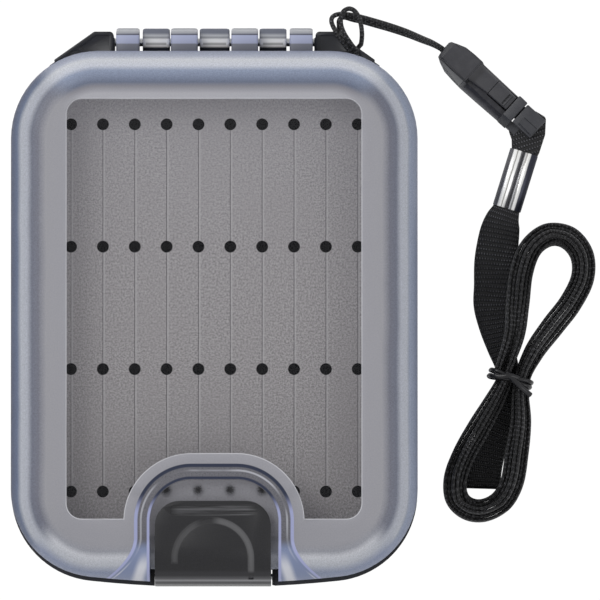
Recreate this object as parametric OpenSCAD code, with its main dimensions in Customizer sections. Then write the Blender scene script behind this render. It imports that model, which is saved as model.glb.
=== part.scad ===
// Double-sided fly box: two clear lids on one hinge pin, a black centre frame with a slit foam
// pad on each side, a pivoting latch per side and a detachable neck lanyard.
// Lies on its back lid: X to the right, Y to the hinge, Z up, origin under the middle of the box.

/* [Box] */
// Width of the box
box_w = 102; // [94:1:116]
// Length over the hinge knuckles and the latches
total_len = 140.5; // [132:1:160]
// Radius of the box's corners in plan
corner_r = 22; // [18:1:26]
// Radius of the bowed front edge
bow_r = 300; // [220:10:600]

/* [Lids] */
// Height of each clear lid
lid_h = 16.8; // [15:0.2:22]
// Wall of the clear lids
lid_wall = 2; // [1.6:0.1:2.4]
// Radius of the rounded shoulder round a lid's top
shoulder_r = 9; // [7.5:0.5:10]
// Inset of the clear window from the lid's edge
window_inset = 14; // [12:0.5:18]
// Depth of the window below the frosted border
window_step = 0.3; // [0.2:0.05:0.5]

/* [Centre frame] */
// Thickness of the centre frame's rim
frame_t = 10; // [9:0.5:14]
// Width of the frame's rim in plan
rim_w = 6.5; // [5:0.5:8]
// Thickness of the web between the two foam pads
web_t = 2; // [1.5:0.25:3]
// How far the frame's lip stands in front of the lids
lip = 1; // [0.6:0.1:1.4]
// Gap between a lid's edge and the frame, filled by the gasket
seal_gap = 0.2; // [0.1:0.05:0.4]

/* [Foam] */
// Thickness of a foam pad
foam_t = 7.6; // [5:0.2:9]
// Diameter of the foam's holes
foam_hole_d = 3; // [2:0.25:4]
// Spacing of the hole columns
hole_pitch_x = 8; // [7:0.5:10]
// Spacing of the hole rows
hole_pitch_y = 30.75; // [24:0.25:34]
// Width of the slits that grip the hooks
slit_w = 0.5; // [0.4:0.1:0.8]
// Depth of the slits and holes
slit_depth = 6; // [3:0.5:6.5]
// Thickness of the adhesive sheet under a pad
glue_t = 0.4; // [0.2:0.1:0.8]

/* [Hinge] */
// Diameter of the hinge pin
hinge_pin_d = 2; // [1.6:0.1:2.4]
// Radius of the hinge knuckles
knuckle_r = 3.5; // [3:0.1:3.8]
// Distance from the lids' rear edge back to the pin
hinge_setback = 2.75; // [2.5:0.05:3.2]
// Running clearance on radius round a moving pin joint
run_clear = 0.05; // [0.03:0.01:0.1]

/* [Latches] */
// Width of a latch
latch_w = 29; // [26:0.5:32]
// Thickness of a latch's arm
latch_t = 2.4; // [2:0.1:2.8]
// Length of a latch's arm over the lid
latch_reach = 21.3; // [19:0.1:23]
// Depth of the lid's bay under a latch
bay_depth = 3.1; // [3.1:0.1:3.4]
// Diameter of a latch pin
latch_pin_d = 1.5; // [1.2:0.1:1.8]
// Height of the catch ridge and of the hook behind it
catch_h = 0.6; // [0.4:0.05:0.6]

/* [Lanyard] */
// Width of the neck strap
strap_w = 10; // [8:0.5:12]
// Thickness of the neck strap
strap_t = 0.9; // [0.8:0.05:0.9]
// Turns of the strap in its hank
hank_turns = 3; // [2:1:4]
// Diameter of the thin cord on the lug
cord_d = 1.2; // [0.8:0.1:1.4]
// Length of the buckle's socket
socket_len = 24; // [22:0.5:28]
// Width of the buckle's socket
socket_w = 8.6; // [8:0.2:10]
// Height of the buckle
buckle_h = 6; // [5.6:0.2:7]
// Length of the crimp sleeve
crimp_len = 15; // [12:0.5:18]

/* [Hidden] */
$fn = 64;
eps = 0.02;

// plan of the box, taken from the hinge pin forwards
mid_z = lid_h + seal_gap + frame_t / 2;
hinge_y = total_len / 2 - knuckle_r;
rear_y = hinge_y - hinge_setback;
latch_front_y = -total_len / 2;
latch_proud = 0.75;
front_y = latch_front_y + latch_proud;
corner_x = box_w / 2 - corner_r;
bow_y = front_y + bow_r;
front_corner_y = bow_y - sqrt(pow(bow_r - corner_r, 2) - pow(corner_x, 2));
rear_corner_y = rear_y - corner_r;
bow_angle = asin(corner_x / (bow_r - corner_r));
lid_front_y = front_y + 0.75;
lid_corner_y = lid_front_y + corner_r;

// latch and its bay
latch_gap = 0.6;
notch_w = latch_w + 2 * latch_gap;
bay_w = notch_w + 2;
rib_w = 3.9;
bay_rear_y = latch_front_y + latch_reach + 5.4;
bay_corner_r = 10.5;
barrel_r = latch_t;
latch_pin_y = latch_front_y + barrel_r;
latch_pin_z = frame_t / 2 - barrel_r;
latch_arc_r = shoulder_r + latch_proud;
latch_top = frame_t / 2 + seal_gap + lid_h;
ridge_y = latch_front_y + latch_reach - 2.9;
ridge_w = 1.2;
hook_clear = 0.1;
pin_hold = 4;
notch_depth = 5.8;
notch_wall = 2.5;

// hinge
knuckle_gap = 0.4;
turn_gap = 0.15;
knuckle_w = 7;
lug_in_x = 25.1;
lug_top_y = hinge_y + 1.85;
lug_out_x = 41.5;
lug_t = frame_t - 3;
lug_root = 5;
lug_hole_d = 3.2;
lug_hole_x = 35;
lug_hole_y = hinge_y - 4.45;
lug_face_d = 4.8;
pin_len = 2 * lug_in_x + 2 * pin_hold;

// seals and foam
gasket_w = 1.6;
gasket_depth = 1;
gasket_inset = 3.6;
flange_reach = 6;
foam_clear = 0.3;
foam_cols = 10;
foam_rows = 4;
first_row_y = 45.75;
foam_z = web_t / 2 + glue_t;

// Plan of the box, shrunk by inset, with its front moved forwards by out.
module plan(inset = 0, out = 0) {
    for (x = [-corner_x, corner_x]) {
        translate([x, rear_corner_y]) circle(r = corner_r - inset);
        translate([x, front_corner_y - out]) circle(r = corner_r - inset);
    }
    translate([-box_w / 2 + inset, front_corner_y - out])
        square([box_w - 2 * inset, rear_corner_y - front_corner_y + out]);
    translate([-corner_x, front_corner_y - out])
        square([2 * corner_x, rear_y - inset - front_corner_y + out]);
    intersection() {
        translate([0, bow_y - out]) circle(r = bow_r - inset);
        translate([0, front_corner_y - out]) polygon([[corner_x, 0], [-corner_x, 0],
            [-corner_x - 40 * tan(bow_angle), -40], [corner_x + 40 * tan(bow_angle), -40]]);
    }
}

// Half section of the band round a lid's edge, reach from the sweep's centre, with its shoulder.
module band_section(reach, h, r) {
    difference() {
        translate([reach - r - 2, 0]) square([r + 2, h]);
        translate([reach - r, h - r]) difference() {
            square(r + 1);
            circle(r = r);
        }
    }
}

// Plan of a lid, whose front runs straight across the middle of the frame's bow.
module lid_plan(inset) {
    for (x = [-corner_x, corner_x], y = [lid_corner_y, rear_corner_y])
        translate([x, y]) circle(r = corner_r - inset);
    translate([-box_w / 2 + inset, lid_corner_y])
        square([box_w - 2 * inset, rear_corner_y - lid_corner_y]);
    translate([-corner_x, lid_front_y + inset])
        square([2 * corner_x, rear_y - lid_front_y - 2 * inset]);
}

// Body of a lid with every outer face moved in by inset, standing on z = 0.
module lid_body(inset) {
    h = lid_h - inset;
    r = shoulder_r - inset;
    linear_extrude(h) lid_plan(inset + r + 1);
    for (side = [0, 1]) mirror([side, 0, 0]) {
        translate([corner_x, rear_corner_y, 0])
            rotate_extrude(angle = 90) band_section(corner_r - inset, h, r);
        translate([corner_x, lid_corner_y, 0]) rotate([0, 0, -90])
            rotate_extrude(angle = 90) band_section(corner_r - inset, h, r);
        translate([0, rear_corner_y, 0]) rotate([90, 0, 0])
            linear_extrude(rear_corner_y - lid_corner_y) band_section(box_w / 2 - inset, h, r);
    }
    translate([corner_x, 0, 0]) rotate([90, 0, -90]) linear_extrude(2 * corner_x)
        mirror([1, 0]) band_section(rear_y - inset, h, r);
    translate([-corner_x, 0, 0]) rotate([90, 0, 90]) linear_extrude(2 * corner_x)
        mirror([1, 0]) band_section(-lid_front_y - inset, h, r);
}

// Round-topped plan of the latch bay, from the front edge to its rear end.
module bay_plan(w, rear, r) {
    for (x = [-w / 2 + r, w / 2 - r]) translate([x, rear - r]) circle(r = r);
    translate([-w / 2 + r, rear - 2 * r]) square([w - 2 * r, 2 * r]);
    translate([-w / 2, latch_front_y - 5]) square([w, rear - r - latch_front_y + 5]);
}

// Rounded bar of the hinge: a knuckle with the leg that carries it, lid edge at z = 0.
module knuckle(w) {
    drop = -seal_gap - frame_t / 2;
    translate([0, hinge_y, drop]) rotate([0, 90, 0]) cylinder(r = knuckle_r, h = w, center = true);
    translate([-w / 2, rear_y - lid_wall, 0])
        cube([w, lid_wall + 2 * hinge_setback - turn_gap, knuckle_r]);
    translate([-w / 2, 0, 0]) rotate([90, 0, 90]) linear_extrude(w) intersection() {
        translate([rear_y + knuckle_gap, drop]) square([hinge_y - rear_y - knuckle_gap + knuckle_r,
            eps - drop]);
        translate([hinge_y, drop]) circle(r = norm([hinge_setback, drop]) - turn_gap);
    }
}

// One clear lid, rim on z = 0, with knuckles of the given middles.
module lid(middles, widths) {
    difference() {
        union() {
            difference() {
                lid_body(0);
                difference() {
                    translate([0, 0, -eps]) lid_body(lid_wall);
                    linear_extrude(lid_h) bay_plan(bay_w + 2 * rib_w, bay_rear_y + rib_w,
                        bay_corner_r + rib_w);
                    // flange that presses on the gasket
                    translate([0, 0, -1]) linear_extrude(1 + lid_wall) difference() {
                        lid_plan(0.5);
                        lid_plan(flange_reach);
                    }
                }
                intersection() {
                    translate([0, 0, -eps]) lid_body(bay_depth + lid_wall);
                    translate([0, 0, -1]) linear_extrude(lid_h)
                        bay_plan(bay_w + 2 * rib_w + eps, bay_rear_y + rib_w + eps,
                            bay_corner_r + rib_w);
                }
                difference() {
                    translate([0, 0, -1]) linear_extrude(lid_h + 2)
                        bay_plan(bay_w, bay_rear_y, bay_corner_r);
                    translate([0, 0, -1]) lid_body(bay_depth);
                    translate([0, 0, 0]) lid_body(bay_depth);
                }
                translate([0, 0, lid_h - window_step]) linear_extrude(1) window_plan();
            }
            intersection() {
                translate([-bay_w / 2, ridge_y, lid_h - bay_depth - 1]) cube([bay_w, ridge_w,
                    1 + catch_h]);
                linear_extrude(lid_h) bay_plan(bay_w + 1, bay_rear_y, bay_corner_r);
            }
            for (i = [0:len(middles) - 1]) translate([middles[i], 0, 0]) knuckle(widths[i]);
        }
        translate([0, hinge_y, -seal_gap - frame_t / 2]) rotate([0, 90, 0])
            cylinder(d = hinge_pin_d + 2 * run_clear, h = box_w, center = true);
    }
}

// Clear window of a lid: the plan moved in, less the arch round the latch bay.
module window_plan() {
    difference() {
        plan(window_inset);
        translate([-box_w / 2, latch_front_y]) square([box_w, window_inset + 3]);
        bay_plan(bay_w + 2 * rib_w + 5, bay_rear_y + rib_w + 3, bay_corner_r + rib_w + 2);
    }
}

module to_front() { translate([0, 0, mid_z + frame_t / 2 + seal_gap]) children(); }
module to_back() {
    translate([0, 0, mid_z]) mirror([0, 0, 1]) translate([0, 0, frame_t / 2 + seal_gap]) children();
}
module on_front() { translate([0, 0, mid_z]) children(); }
module on_back() { translate([0, 0, mid_z]) mirror([0, 0, 1]) children(); }

module front_lid() {
    color("lightsteelblue", 0.4)
        to_front() lid([-21.8, -7.6, 7.6, 21.8], [5.8, 6.7, 6.7, 5.8]);
}
module back_lid() {
    color("lightsteelblue", 0.4) to_back() lid([-14.7, 0, 14.7], [6.8, 7.5, 6.8]);
}

// Plan of one lug that holds the hinge pin and the lanyard hole.
module lug_plan() {
    polygon([[lug_in_x, rear_y - lug_root], [lug_in_x, lug_top_y - 1], [lug_in_x + 1, lug_top_y],
        [30, lug_top_y], [lug_out_x, rear_y - 3.2], [lug_out_x, rear_y - lug_root]]);
}

module center_frame() {
    color("#1b1c1f") on_front() difference() {
        union() {
            translate([0, 0, -frame_t / 2]) linear_extrude(frame_t) difference() {
                plan(0, lip);
                plan(rim_w);
            }
            intersection() {
                translate([-notch_w / 2 - notch_wall, latch_front_y, -frame_t / 2])
                    cube([notch_w + 2 * notch_wall, notch_depth + notch_wall, frame_t]);
                translate([0, 0, -frame_t / 2]) linear_extrude(frame_t) plan(0, lip);
            }
            translate([0, 0, -web_t / 2]) linear_extrude(web_t) plan(rim_w - 0.5);
            for (side = [0, 1]) mirror([side, 0, 0]) translate([0, 0, -lug_t / 2])
                linear_extrude(lug_t) lug_plan();
        }
        for (side = [-1, 1]) translate([side * lug_hole_x, lug_hole_y, -frame_t])
            cylinder(d = lug_hole_d, h = 2 * frame_t);
        for (side = [-1, 1], up = [0, 1]) mirror([0, 0, up])
            translate([side * lug_hole_x, lug_hole_y, lug_t / 2])
                cylinder(d = lug_face_d, h = frame_t);
        // room for the two latches and the hinge knuckles
        translate([-notch_w / 2, latch_front_y - 1, -frame_t]) cube([notch_w, notch_depth + 1,
            2 * frame_t]);
        translate([-lug_in_x, hinge_y - knuckle_r - knuckle_gap, -frame_t])
            cube([2 * lug_in_x, 10, 2 * frame_t]);
        for (side = [-1, 1]) {
            translate([0, latch_pin_y, side * latch_pin_z]) rotate([0, 90, 0])
                cylinder(d = latch_pin_d, h = notch_w + 2 * pin_hold, center = true);
            translate([0, 0, side * frame_t / 2]) mirror([0, 0, side > 0 ? 1 : 0])
                translate([0, 0, -eps]) linear_extrude(gasket_depth + eps) gasket_plan();
        }
        translate([0, hinge_y, 0]) rotate([0, 90, 0])
            cylinder(d = hinge_pin_d, h = pin_len, center = true);
        // the groove round the rim's outer edge
        difference() {
            translate([0, 0, -0.8]) linear_extrude(1.6) difference() {
                plan(-1, lip);
                plan(0.5, lip);
            }
            translate([-box_w / 2 - 5, rear_corner_y, -frame_t]) cube([box_w + 10, 40, 2 * frame_t]);
            translate([-notch_w / 2 - 4, -box_w, -frame_t]) cube([notch_w + 8, 50, 2 * frame_t]);
        }
        // shallow pockets in the lugs
        for (side = [0, 1], up = [0, 1]) mirror([side, 0, 0]) mirror([0, 0, up])
            translate([0, 0, lug_t / 2 - 0.6]) linear_extrude(1) polygon([
                [lug_in_x + 2.6, rear_y + 0.6], [lug_in_x + 2.6, lug_top_y - 1.5],
                [29.6, lug_top_y - 1.5], [32.6, rear_y + 0.6]]);
    }
}

module gasket_plan() {
    difference() {
        plan(gasket_inset);
        plan(gasket_inset + gasket_w);
        translate([-notch_w / 2 - notch_wall - 0.5, latch_front_y]) square([notch_w
            + 2 * notch_wall + 1, notch_depth + 1.5]);
    }
}
module gasket() {
    translate([0, 0, frame_t / 2 - gasket_depth]) linear_extrude(gasket_depth + seal_gap)
        gasket_plan();
}
module front_gasket() { color("#2c2f36") on_front() gasket(); }
module back_gasket() { color("#2c2f36") on_back() gasket(); }

// Plan of a foam pad, notched round the latch bay.
module foam_plan() {
    difference() {
        plan(rim_w + foam_clear);
        translate([-notch_w / 2 - notch_wall - foam_clear, latch_front_y]) square([notch_w
            + 2 * (notch_wall + foam_clear), notch_depth + notch_wall + foam_clear + 4]);
    }
}
module foam() {
    cols = [for (i = [0:foam_cols - 1]) (i - (foam_cols - 1) / 2) * hole_pitch_x];
    difference() {
        translate([0, 0, foam_z]) linear_extrude(foam_t) foam_plan();
        translate([0, 0, foam_z + foam_t - slit_depth]) linear_extrude(slit_depth + 1) {
            for (x = cols, r = [0:foam_rows - 1]) translate([x, first_row_y - r * hole_pitch_y])
                circle(d = foam_hole_d, $fn = 16);
            for (x = cols) translate([x - slit_w / 2, first_row_y - (foam_rows - 1) * hole_pitch_y])
                square([slit_w, (foam_rows - 1) * hole_pitch_y]);
        }
    }
}
module adhesive() {
    translate([0, 0, web_t / 2]) linear_extrude(glue_t) foam_plan();
}
module front_foam() { color("#87868a") on_front() foam(); }
module back_foam() { color("#87868a") on_back() foam(); }
module front_adhesive() { color("#d8d6cc") on_front() adhesive(); }
module back_adhesive() { color("#d8d6cc") on_back() adhesive(); }

module hinge_pin() {
    color("silver") on_front() translate([0, hinge_y, 0]) rotate([0, 90, 0])
        cylinder(d = hinge_pin_d, h = pin_len, center = true);
}

// Side section of a latch in Y and Z, from its pin up and over the lid.
module latch_section() {
    arc_y = latch_front_y + latch_arc_r;
    arc_z = latch_top - latch_arc_r;
    tip_y = latch_front_y + latch_reach;
    translate([latch_pin_y, latch_pin_z]) circle(r = barrel_r);
    translate([latch_front_y, latch_pin_z]) square([latch_t, arc_z - latch_pin_z]);
    intersection() {
        translate([arc_y, arc_z]) difference() {
            circle(r = latch_arc_r);
            circle(r = latch_arc_r - latch_t);
        }
        translate([latch_front_y, arc_z]) square([latch_arc_r, latch_arc_r]);
    }
    translate([arc_y, latch_top - latch_t]) square([tip_y - arc_y, latch_t]);
    // hook that seats behind the lid's catch ridge
    translate([ridge_y + ridge_w + hook_clear, latch_top - bay_depth + hook_clear])
        square([tip_y - ridge_y - ridge_w - hook_clear, bay_depth - hook_clear]);
}
module latch() {
    grip_r = latch_w * 0.36;
    difference() {
        intersection() {
            rotate([90, 0, 90]) linear_extrude(latch_w, center = true) latch_section();
            translate([0, 0, -frame_t]) linear_extrude(latch_top + 2 * frame_t)
                bay_plan(latch_w, latch_front_y + latch_reach, 6.2);
        }
        translate([0, latch_pin_y, latch_pin_z]) rotate([0, 90, 0])
            cylinder(d = latch_pin_d + 2 * run_clear, h = latch_w + 2, center = true);
        // D-shaped groove in the thumb pad
        translate([0, 0, latch_top - 0.5]) linear_extrude(1) intersection() {
            translate([0, latch_front_y + 6]) difference() {
                circle(r = grip_r);
                circle(r = grip_r - 1.4);
            }
            translate([-latch_w / 2, latch_front_y + 6]) square([latch_w, latch_w]);
        }
        // finger step behind the lip
        translate([-latch_w / 2, latch_front_y + latch_reach - 4.4, latch_top - 0.4])
            cube([latch_w, 2.6, 1]);
    }
}
module front_latch() { color("#232327") on_front() latch(); }
module back_latch() { color("#232327") on_back() latch(); }

module latch_pin() {
    translate([0, latch_pin_y, latch_pin_z]) rotate([0, 90, 0])
        cylinder(d = latch_pin_d, h = notch_w + 2 * pin_hold, center = true);
}
module front_latch_pin() { color("silver") on_front() latch_pin(); }
module back_latch_pin() { color("silver") on_back() latch_pin(); }

// Thin cord: from the buckle's tip round the right lug through its hole, and back again.
cord_route = [[58.77, 65.02, 3], [57.41, 66.26, 3], [55.6, 67.3, 6], [53.2, 68.4, 10.2],
    [50.4, 69.4, 14.8], [46.8, 70.2, 18.6], [43, 70.9, 20.8], [39.2, 71.5, 22], [35.6, 71.7, 22.6],
    [32.6, 71.4, 23], [31, 70.2, 24.4], [31.4, 68.2, 26.2], [32.7, 66.2, 26.6],
    [33.9, 64.8, 26.5], [34.2, 63.9, 26.25], [34.25, 63.15, 25.8], [34.25, 62.75, 24.9],
    [34.25, 62.7, 22], [34.25, 62.75, 19.1], [34.3, 63.15, 18.2], [34.4, 63.9, 17.75],
    [34.6, 64.8, 17.5], [34.9, 66.5, 17.3], [35.2, 68.6, 18.8], [35.5, 69.6, 21.8],
    [35.7, 68.4, 25], [35.75, 66.4, 26.5], [35.75, 64.8, 26.5], [35.75, 63.9, 26.25],
    [35.75, 63.15, 25.8], [35.75, 62.75, 24.9], [35.75, 62.7, 22], [35.75, 62.75, 19.1],
    [35.75, 63.15, 18.2], [35.8, 63.9, 17.75], [36.1, 64.8, 17.5], [37.3, 66.6, 16.9],
    [39.2, 68.2, 17.2], [42.4, 68.9, 17.6], [46.2, 68.3, 16.4], [49.6, 67.4, 13],
    [52.4, 66.5, 9], [54.8, 65.8, 5.2], [56.72, 64.99, 3], [57.83, 63.98, 3]];

// Buckle: its own axis runs from the socket's tip towards the plug.
buckle_at = [58.3, 64.5, 0];
buckle_turn = -42.5;
prong_len = 9;
prong_w = 4.4;
prong_t = 2.4;
block_len = 6;
block_w = 6.2;
slide_clear = 0.15;
tongue_w = 3.4;
tongue_t = 1.2;
module on_buckle() { translate(buckle_at) rotate([0, 0, buckle_turn]) children(); }

// strap: hank round its waist, loops nested on edge
waist = [74.7, -17.75];
hank_tilt = 22.7;
waist_half = 2.3;
loop_rings = 24;
loop_step = 1.95;
waist_step = 1.32;
edge_lift = 3.5;
strap_rest = 0.3;
over_lead = 3.6;
climb = 0.14;

// Middle turn of the hank: down the left, round the lower loop, up the right, round the upper.
middle_turn = [[72.6, -16.9], [69.9, -23.1], [66, -29.8], [62.4, -36.4], [60.2, -42.7], [60.7, -48.1],
    [63.8, -51], [68.1, -51.4], [72.5, -49], [75.3, -44.1], [76.5, -36.6], [77.4, -28.6],
    [77.4, -18.9], [80.8, -11.4], [85.2, -4.5], [89.7, 1.5], [92.7, 7.8], [92.5, 13.5],
    [89.3, 17.5], [84.6, 18.1], [80.2, 14.9], [77.6, 8.8], [76.4, 0.7], [75.1, -7.4]];
// Share of the lift over the lead at each ring of a turn.
lead_share = [1, 1, 1, 1, 1, 0.3, 0, 0, 0.1, 0.9, 1, 1, 1, 1, 0.4, 0, 0, 0, 0, 0.3, 1, 1, 1, 1];

// A turn's step at a ring, and the outward direction there.
function step_at(k) = let (far = min(k % 12, 12 - k % 12))
    far == 0 ? waist_step : far == 1 ? (waist_step + loop_step) / 2 : loop_step;
function outward(k) = let (t = unit(middle_turn[(k + 1) % 24] - middle_turn[(k + 23) % 24]))
    [t[1], -t[0]];
function stagger(u) = let (n = floor(u), f = u - n, up = n % 2)
    f < 1 - climb ? up : up + (1 - 2 * up) * (f - 1 + climb) / climb;
function hank_at(i) = let (k = i % loop_rings, u = i / loop_rings,
    p = middle_turn[k] + outward(k) * (u - hank_turns / 2) * step_at(k))
    [p[0], p[1], strap_rest + strap_w / 2 + edge_lift * stagger(u) + over_lead * lead_share[k]];
hank_line = [for (i = [0:hank_turns * loop_rings]) hank_at(i)];

// Least gap of the hank to itself: plan distance of ring centres to the other layers.
function flat(p) = [p[0], p[1]];
function to_segment(p, a, b) = let (t = (p - a) * (b - a) / ((b - a) * (b - a)))
    norm(p - a - min(max(t, 0), 1) * (b - a));
hank_gap = min([for (i = [0:len(hank_line) - 1], j = [0:len(hank_line) - 2])
    if (abs(i - j) > loop_rings / 4) to_segment(flat(hank_line[i]), flat(hank_line[j]),
        flat(hank_line[j + 1]))]) - strap_t;
echo(hank_gap = hank_gap);

// Leads: two flat layers from the crimp, under the waist and into the lower loop.
inner_lead = [[73.18, 23.83, 1.3], [72.2, 21.5, 1.2], [71.4, 17.5, 1], [70.8, 12, 0.9], [70.8, 6, 0.8],
    [70.6, 1, 0.8], [71.2, -4.4, 0.9], [72.4, -9.6, 1.2], [73.8, -14, 1.5], [74.4, -17.75, 1.5],
    [73.8, -22, 1.4], [71.8, -28.5, 1], [69.4, -35, 0.8], [68.2, -41, 0.8], [68, -45.5, 0.8]];
lead_widths = [0.75, 0.94, 1, 1, 1, 1, 0.86, 0.7, 0.6, 0.58, 0.64, 0.8, 0.88, 0.88, 0.88];
lead_step = 1.4;
outer_lead = [for (p = inner_lead) p + [0, 0, lead_step]];

function unit(v) = v / norm(v);
function tangents(line) = [for (i = [0:len(line) - 1])
    unit(line[min(i + 1, len(line) - 1)] - line[max(i - 1, 0)])];

// Flat band along a line; roll turns its width from flat (0) to on edge (90).
module band(line, roll, width, t, share = []) {
    tan = tangents(line);
    pts = [for (i = [0:len(line) - 1]) let (w = len(share) > 0 ? width * share[i] : width,
        side = unit(cross(tan[i], [0, 0, 1])), up = cross(side, tan[i]),
        across = side * cos(roll[i]) + up * sin(roll[i]), out = cross(across, tan[i]))
        each [line[i] + across * w * 0.42 + out * t / 2, line[i] + across * w / 2,
            line[i] + across * w * 0.42 - out * t / 2, line[i] - across * w * 0.42 - out * t / 2,
            line[i] - across * w / 2, line[i] - across * w * 0.42 + out * t / 2]];
    skin(pts, 6);
}

// Closed skin over rings of n points each.
module skin(pts, n) {
    rings = len(pts) / n;
    polyhedron(pts, concat(
        [for (k = [1:n - 2]) [0, k, k + 1]],
        [for (k = [1:n - 2]) [(rings - 1) * n, (rings - 1) * n + k + 1, (rings - 1) * n + k]],
        [for (i = [0:rings - 2], k = [0:n - 1]) each [
            [i * n + k, (i + 1) * n + k, i * n + (k + 1) % n],
            [i * n + (k + 1) % n, (i + 1) * n + k, (i + 1) * n + (k + 1) % n]]]));
}

// Round tube along a line.
module tube(line, d, n = 8) {
    tan = tangents(line);
    skin([for (i = [0:len(line) - 1]) let (side = unit(cross(tan[i], [0.3, 0.2, 1])),
        up = cross(side, tan[i])) each [for (k = [0:n - 1])
            line[i] + (side * cos(360 * k / n) - up * sin(360 * k / n)) * d / 2]], n);
}

module lanyard_cord() { color("#151517") tube(cord_route, cord_d); }

module buckle_socket() {
    color("#202023") on_buckle() difference() {
        linear_extrude(buckle_h) polygon([[0, -1.4], [0.8, -1.9], [socket_len * 0.33, -socket_w / 2 + 0.5],
            [socket_len * 0.46, -socket_w / 2], [socket_len * 0.6, -socket_w / 2 + 0.7],
            [socket_len * 0.85, -socket_w / 2 + 0.5], [socket_len, -socket_w / 2],
            [socket_len, socket_w / 2], [socket_len * 0.85, socket_w / 2 - 0.5],
            [socket_len * 0.6, socket_w / 2 - 0.7], [socket_len * 0.46, socket_w / 2],
            [socket_len * 0.33, socket_w / 2 - 0.5], [0.8, 1.9], [0, 1.4]]);
        // mouth for the plug, window for its tongue
        translate([socket_len - prong_len - 3, -prong_w / 2 - slide_clear, buckle_h / 2 - prong_t / 2
            - slide_clear]) cube([prong_len + 4, prong_w + 2 * slide_clear, prong_t + 2 * slide_clear]);
        translate([socket_len - prong_len - 3, -tongue_w / 2 - 0.4, buckle_h / 2])
            cube([prong_len + 4, tongue_w + 0.8, buckle_h]);
        // rounded top edges
        for (side = [-1, 1]) translate([-1, side * (socket_w / 2 + 0.3), buckle_h + 0.3])
            rotate([45, 0, 0]) cube([socket_len + 2, 1.6, 1.6], center = false);
    }
}

// Plug: prong inside the socket, block outside with a bar for the tab.
module buckle_plug() {
    color("#202023") on_buckle() difference() {
        union() {
            translate([socket_len - prong_len, -prong_w / 2, buckle_h / 2 - prong_t / 2])
                cube([prong_len + slide_clear + 1, prong_w, prong_t]);
            translate([socket_len + slide_clear, -block_w / 2, 0.4])
                cube([block_len, block_w, buckle_h - 0.8]);
        }
        translate([socket_len + slide_clear + 2.6, -block_w / 2 + 1, -1])
            cube([1.9, block_w - 2, buckle_h + 2]);
        // bed of the release tongue
        translate([socket_len - prong_len - 1, -tongue_w / 2 - slide_clear, buckle_h / 2 - 0.6])
            cube([prong_len + 1 + slide_clear, tongue_w + 2 * slide_clear, prong_t]);
    }
}

// Sprung tongue that shows in the socket's window and is pressed down to free the plug.
module release_tongue() {
    color("#28282b") on_buckle() difference() {
        union() {
            translate([socket_len - prong_len, -tongue_w / 2, buckle_h / 2 + 0.5])
                cube([prong_len - 0.3, tongue_w, tongue_t]);
            translate([socket_len - prong_len, -tongue_w / 2, buckle_h / 2 + 0.5 + tongue_t - 0.3])
                cube([4.6, tongue_w, 1.5]);
        }
        for (i = [0:2]) translate([socket_len - prong_len + 0.9 + i * 1.2, -tongue_w, buckle_h / 2
            + 0.5 + tongue_t + 0.95]) cube([0.5, 2 * tongue_w, 1]);
    }
}

// Folded webbing tab between the plug's bar and the crimp.
tab_w = 3.6;
crimp_top = [77.5, 38.25];
crimp_turn = 106.7;
module on_crimp() { translate([crimp_top[0], crimp_top[1], 0]) rotate([0, 0, crimp_turn]) children(); }
module strap_tab() {
    line = [[80.85, 43.84, 3], [81.7, 42.9, 3], [82.2, 41.8, 2.9], [81.8, 40.6, 2.7],
        [80.4, 39.8, 2.5], [78.8, 39.7, 2.3], [77.6, 39.6, 2.2], [77.24, 39.12, 2.1],
        [77.466, 38.365, 2.1]];
    color("#141416") band(line, [for (p = line) 0], tab_w, 1.6);
}

barrel_d = 3.9;
module crimp_sleeve() {
    color("silver") on_crimp() rotate([0, 0, 180]) for (side = [-1, 1])
        translate([0, side * 1.6, barrel_d / 2 + 0.1]) rotate([0, 90, 0])
            cylinder(d = barrel_d, h = crimp_len);
}

module strap_lead() {
    color("#121214") {
        band(inner_lead, [for (p = inner_lead) 0], strap_w, strap_t, lead_widths);
        band(outer_lead, [for (p = outer_lead) 0], strap_w, strap_t, lead_widths);
    }
}
module strap_hank() { color("#121214") band(hank_line, [for (p = hank_line) 90], strap_w, strap_t); }

// Flat wire tie twisted round the hank's waist.
tie_w = 4;
tie_slack = 1.6;
tie_shift = 0.25;
tie_t = 0.8;
tie_r = 1.6;
module twist_tie() {
    in_w = 2 * waist_half + waist_step * hank_turns + strap_t + tie_slack;
    in_h = strap_rest + over_lead + edge_lift + strap_w - tie_t + 0.5 * tie_slack;
    color("#0d0d0f") translate([waist[0], waist[1], 0]) rotate([0, 0, -hank_tilt])
        translate([tie_shift, 0, 0]) rotate([90, 0, 0]) linear_extrude(tie_w, center = true)
        difference() {
            tie_section(in_w + 2 * tie_t, in_h + 2 * tie_t, 0);
            tie_section(in_w, in_h, tie_t);
        }
}
module tie_section(w, h, lift) {
    translate([-w / 2, lift]) square([w, h - tie_r]);
    translate([-w / 2 + tie_r, lift]) square([w - 2 * tie_r, h]);
    for (x = [-w / 2 + tie_r, w / 2 - tie_r]) translate([x, lift + h - tie_r]) circle(r = tie_r);
}

center_frame();
front_lid();
back_lid();
front_foam();
back_foam();
front_adhesive();
back_adhesive();
front_gasket();
back_gasket();
hinge_pin();
front_latch();
back_latch();
front_latch_pin();
back_latch_pin();
lanyard_cord();
buckle_socket();
buckle_plug();
release_tongue();
strap_tab();
crimp_sleeve();
strap_lead();
strap_hank();
twist_tie();
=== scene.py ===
"""Looks of a double-sided fly box with its neck strap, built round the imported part's frame."""

import math

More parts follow.
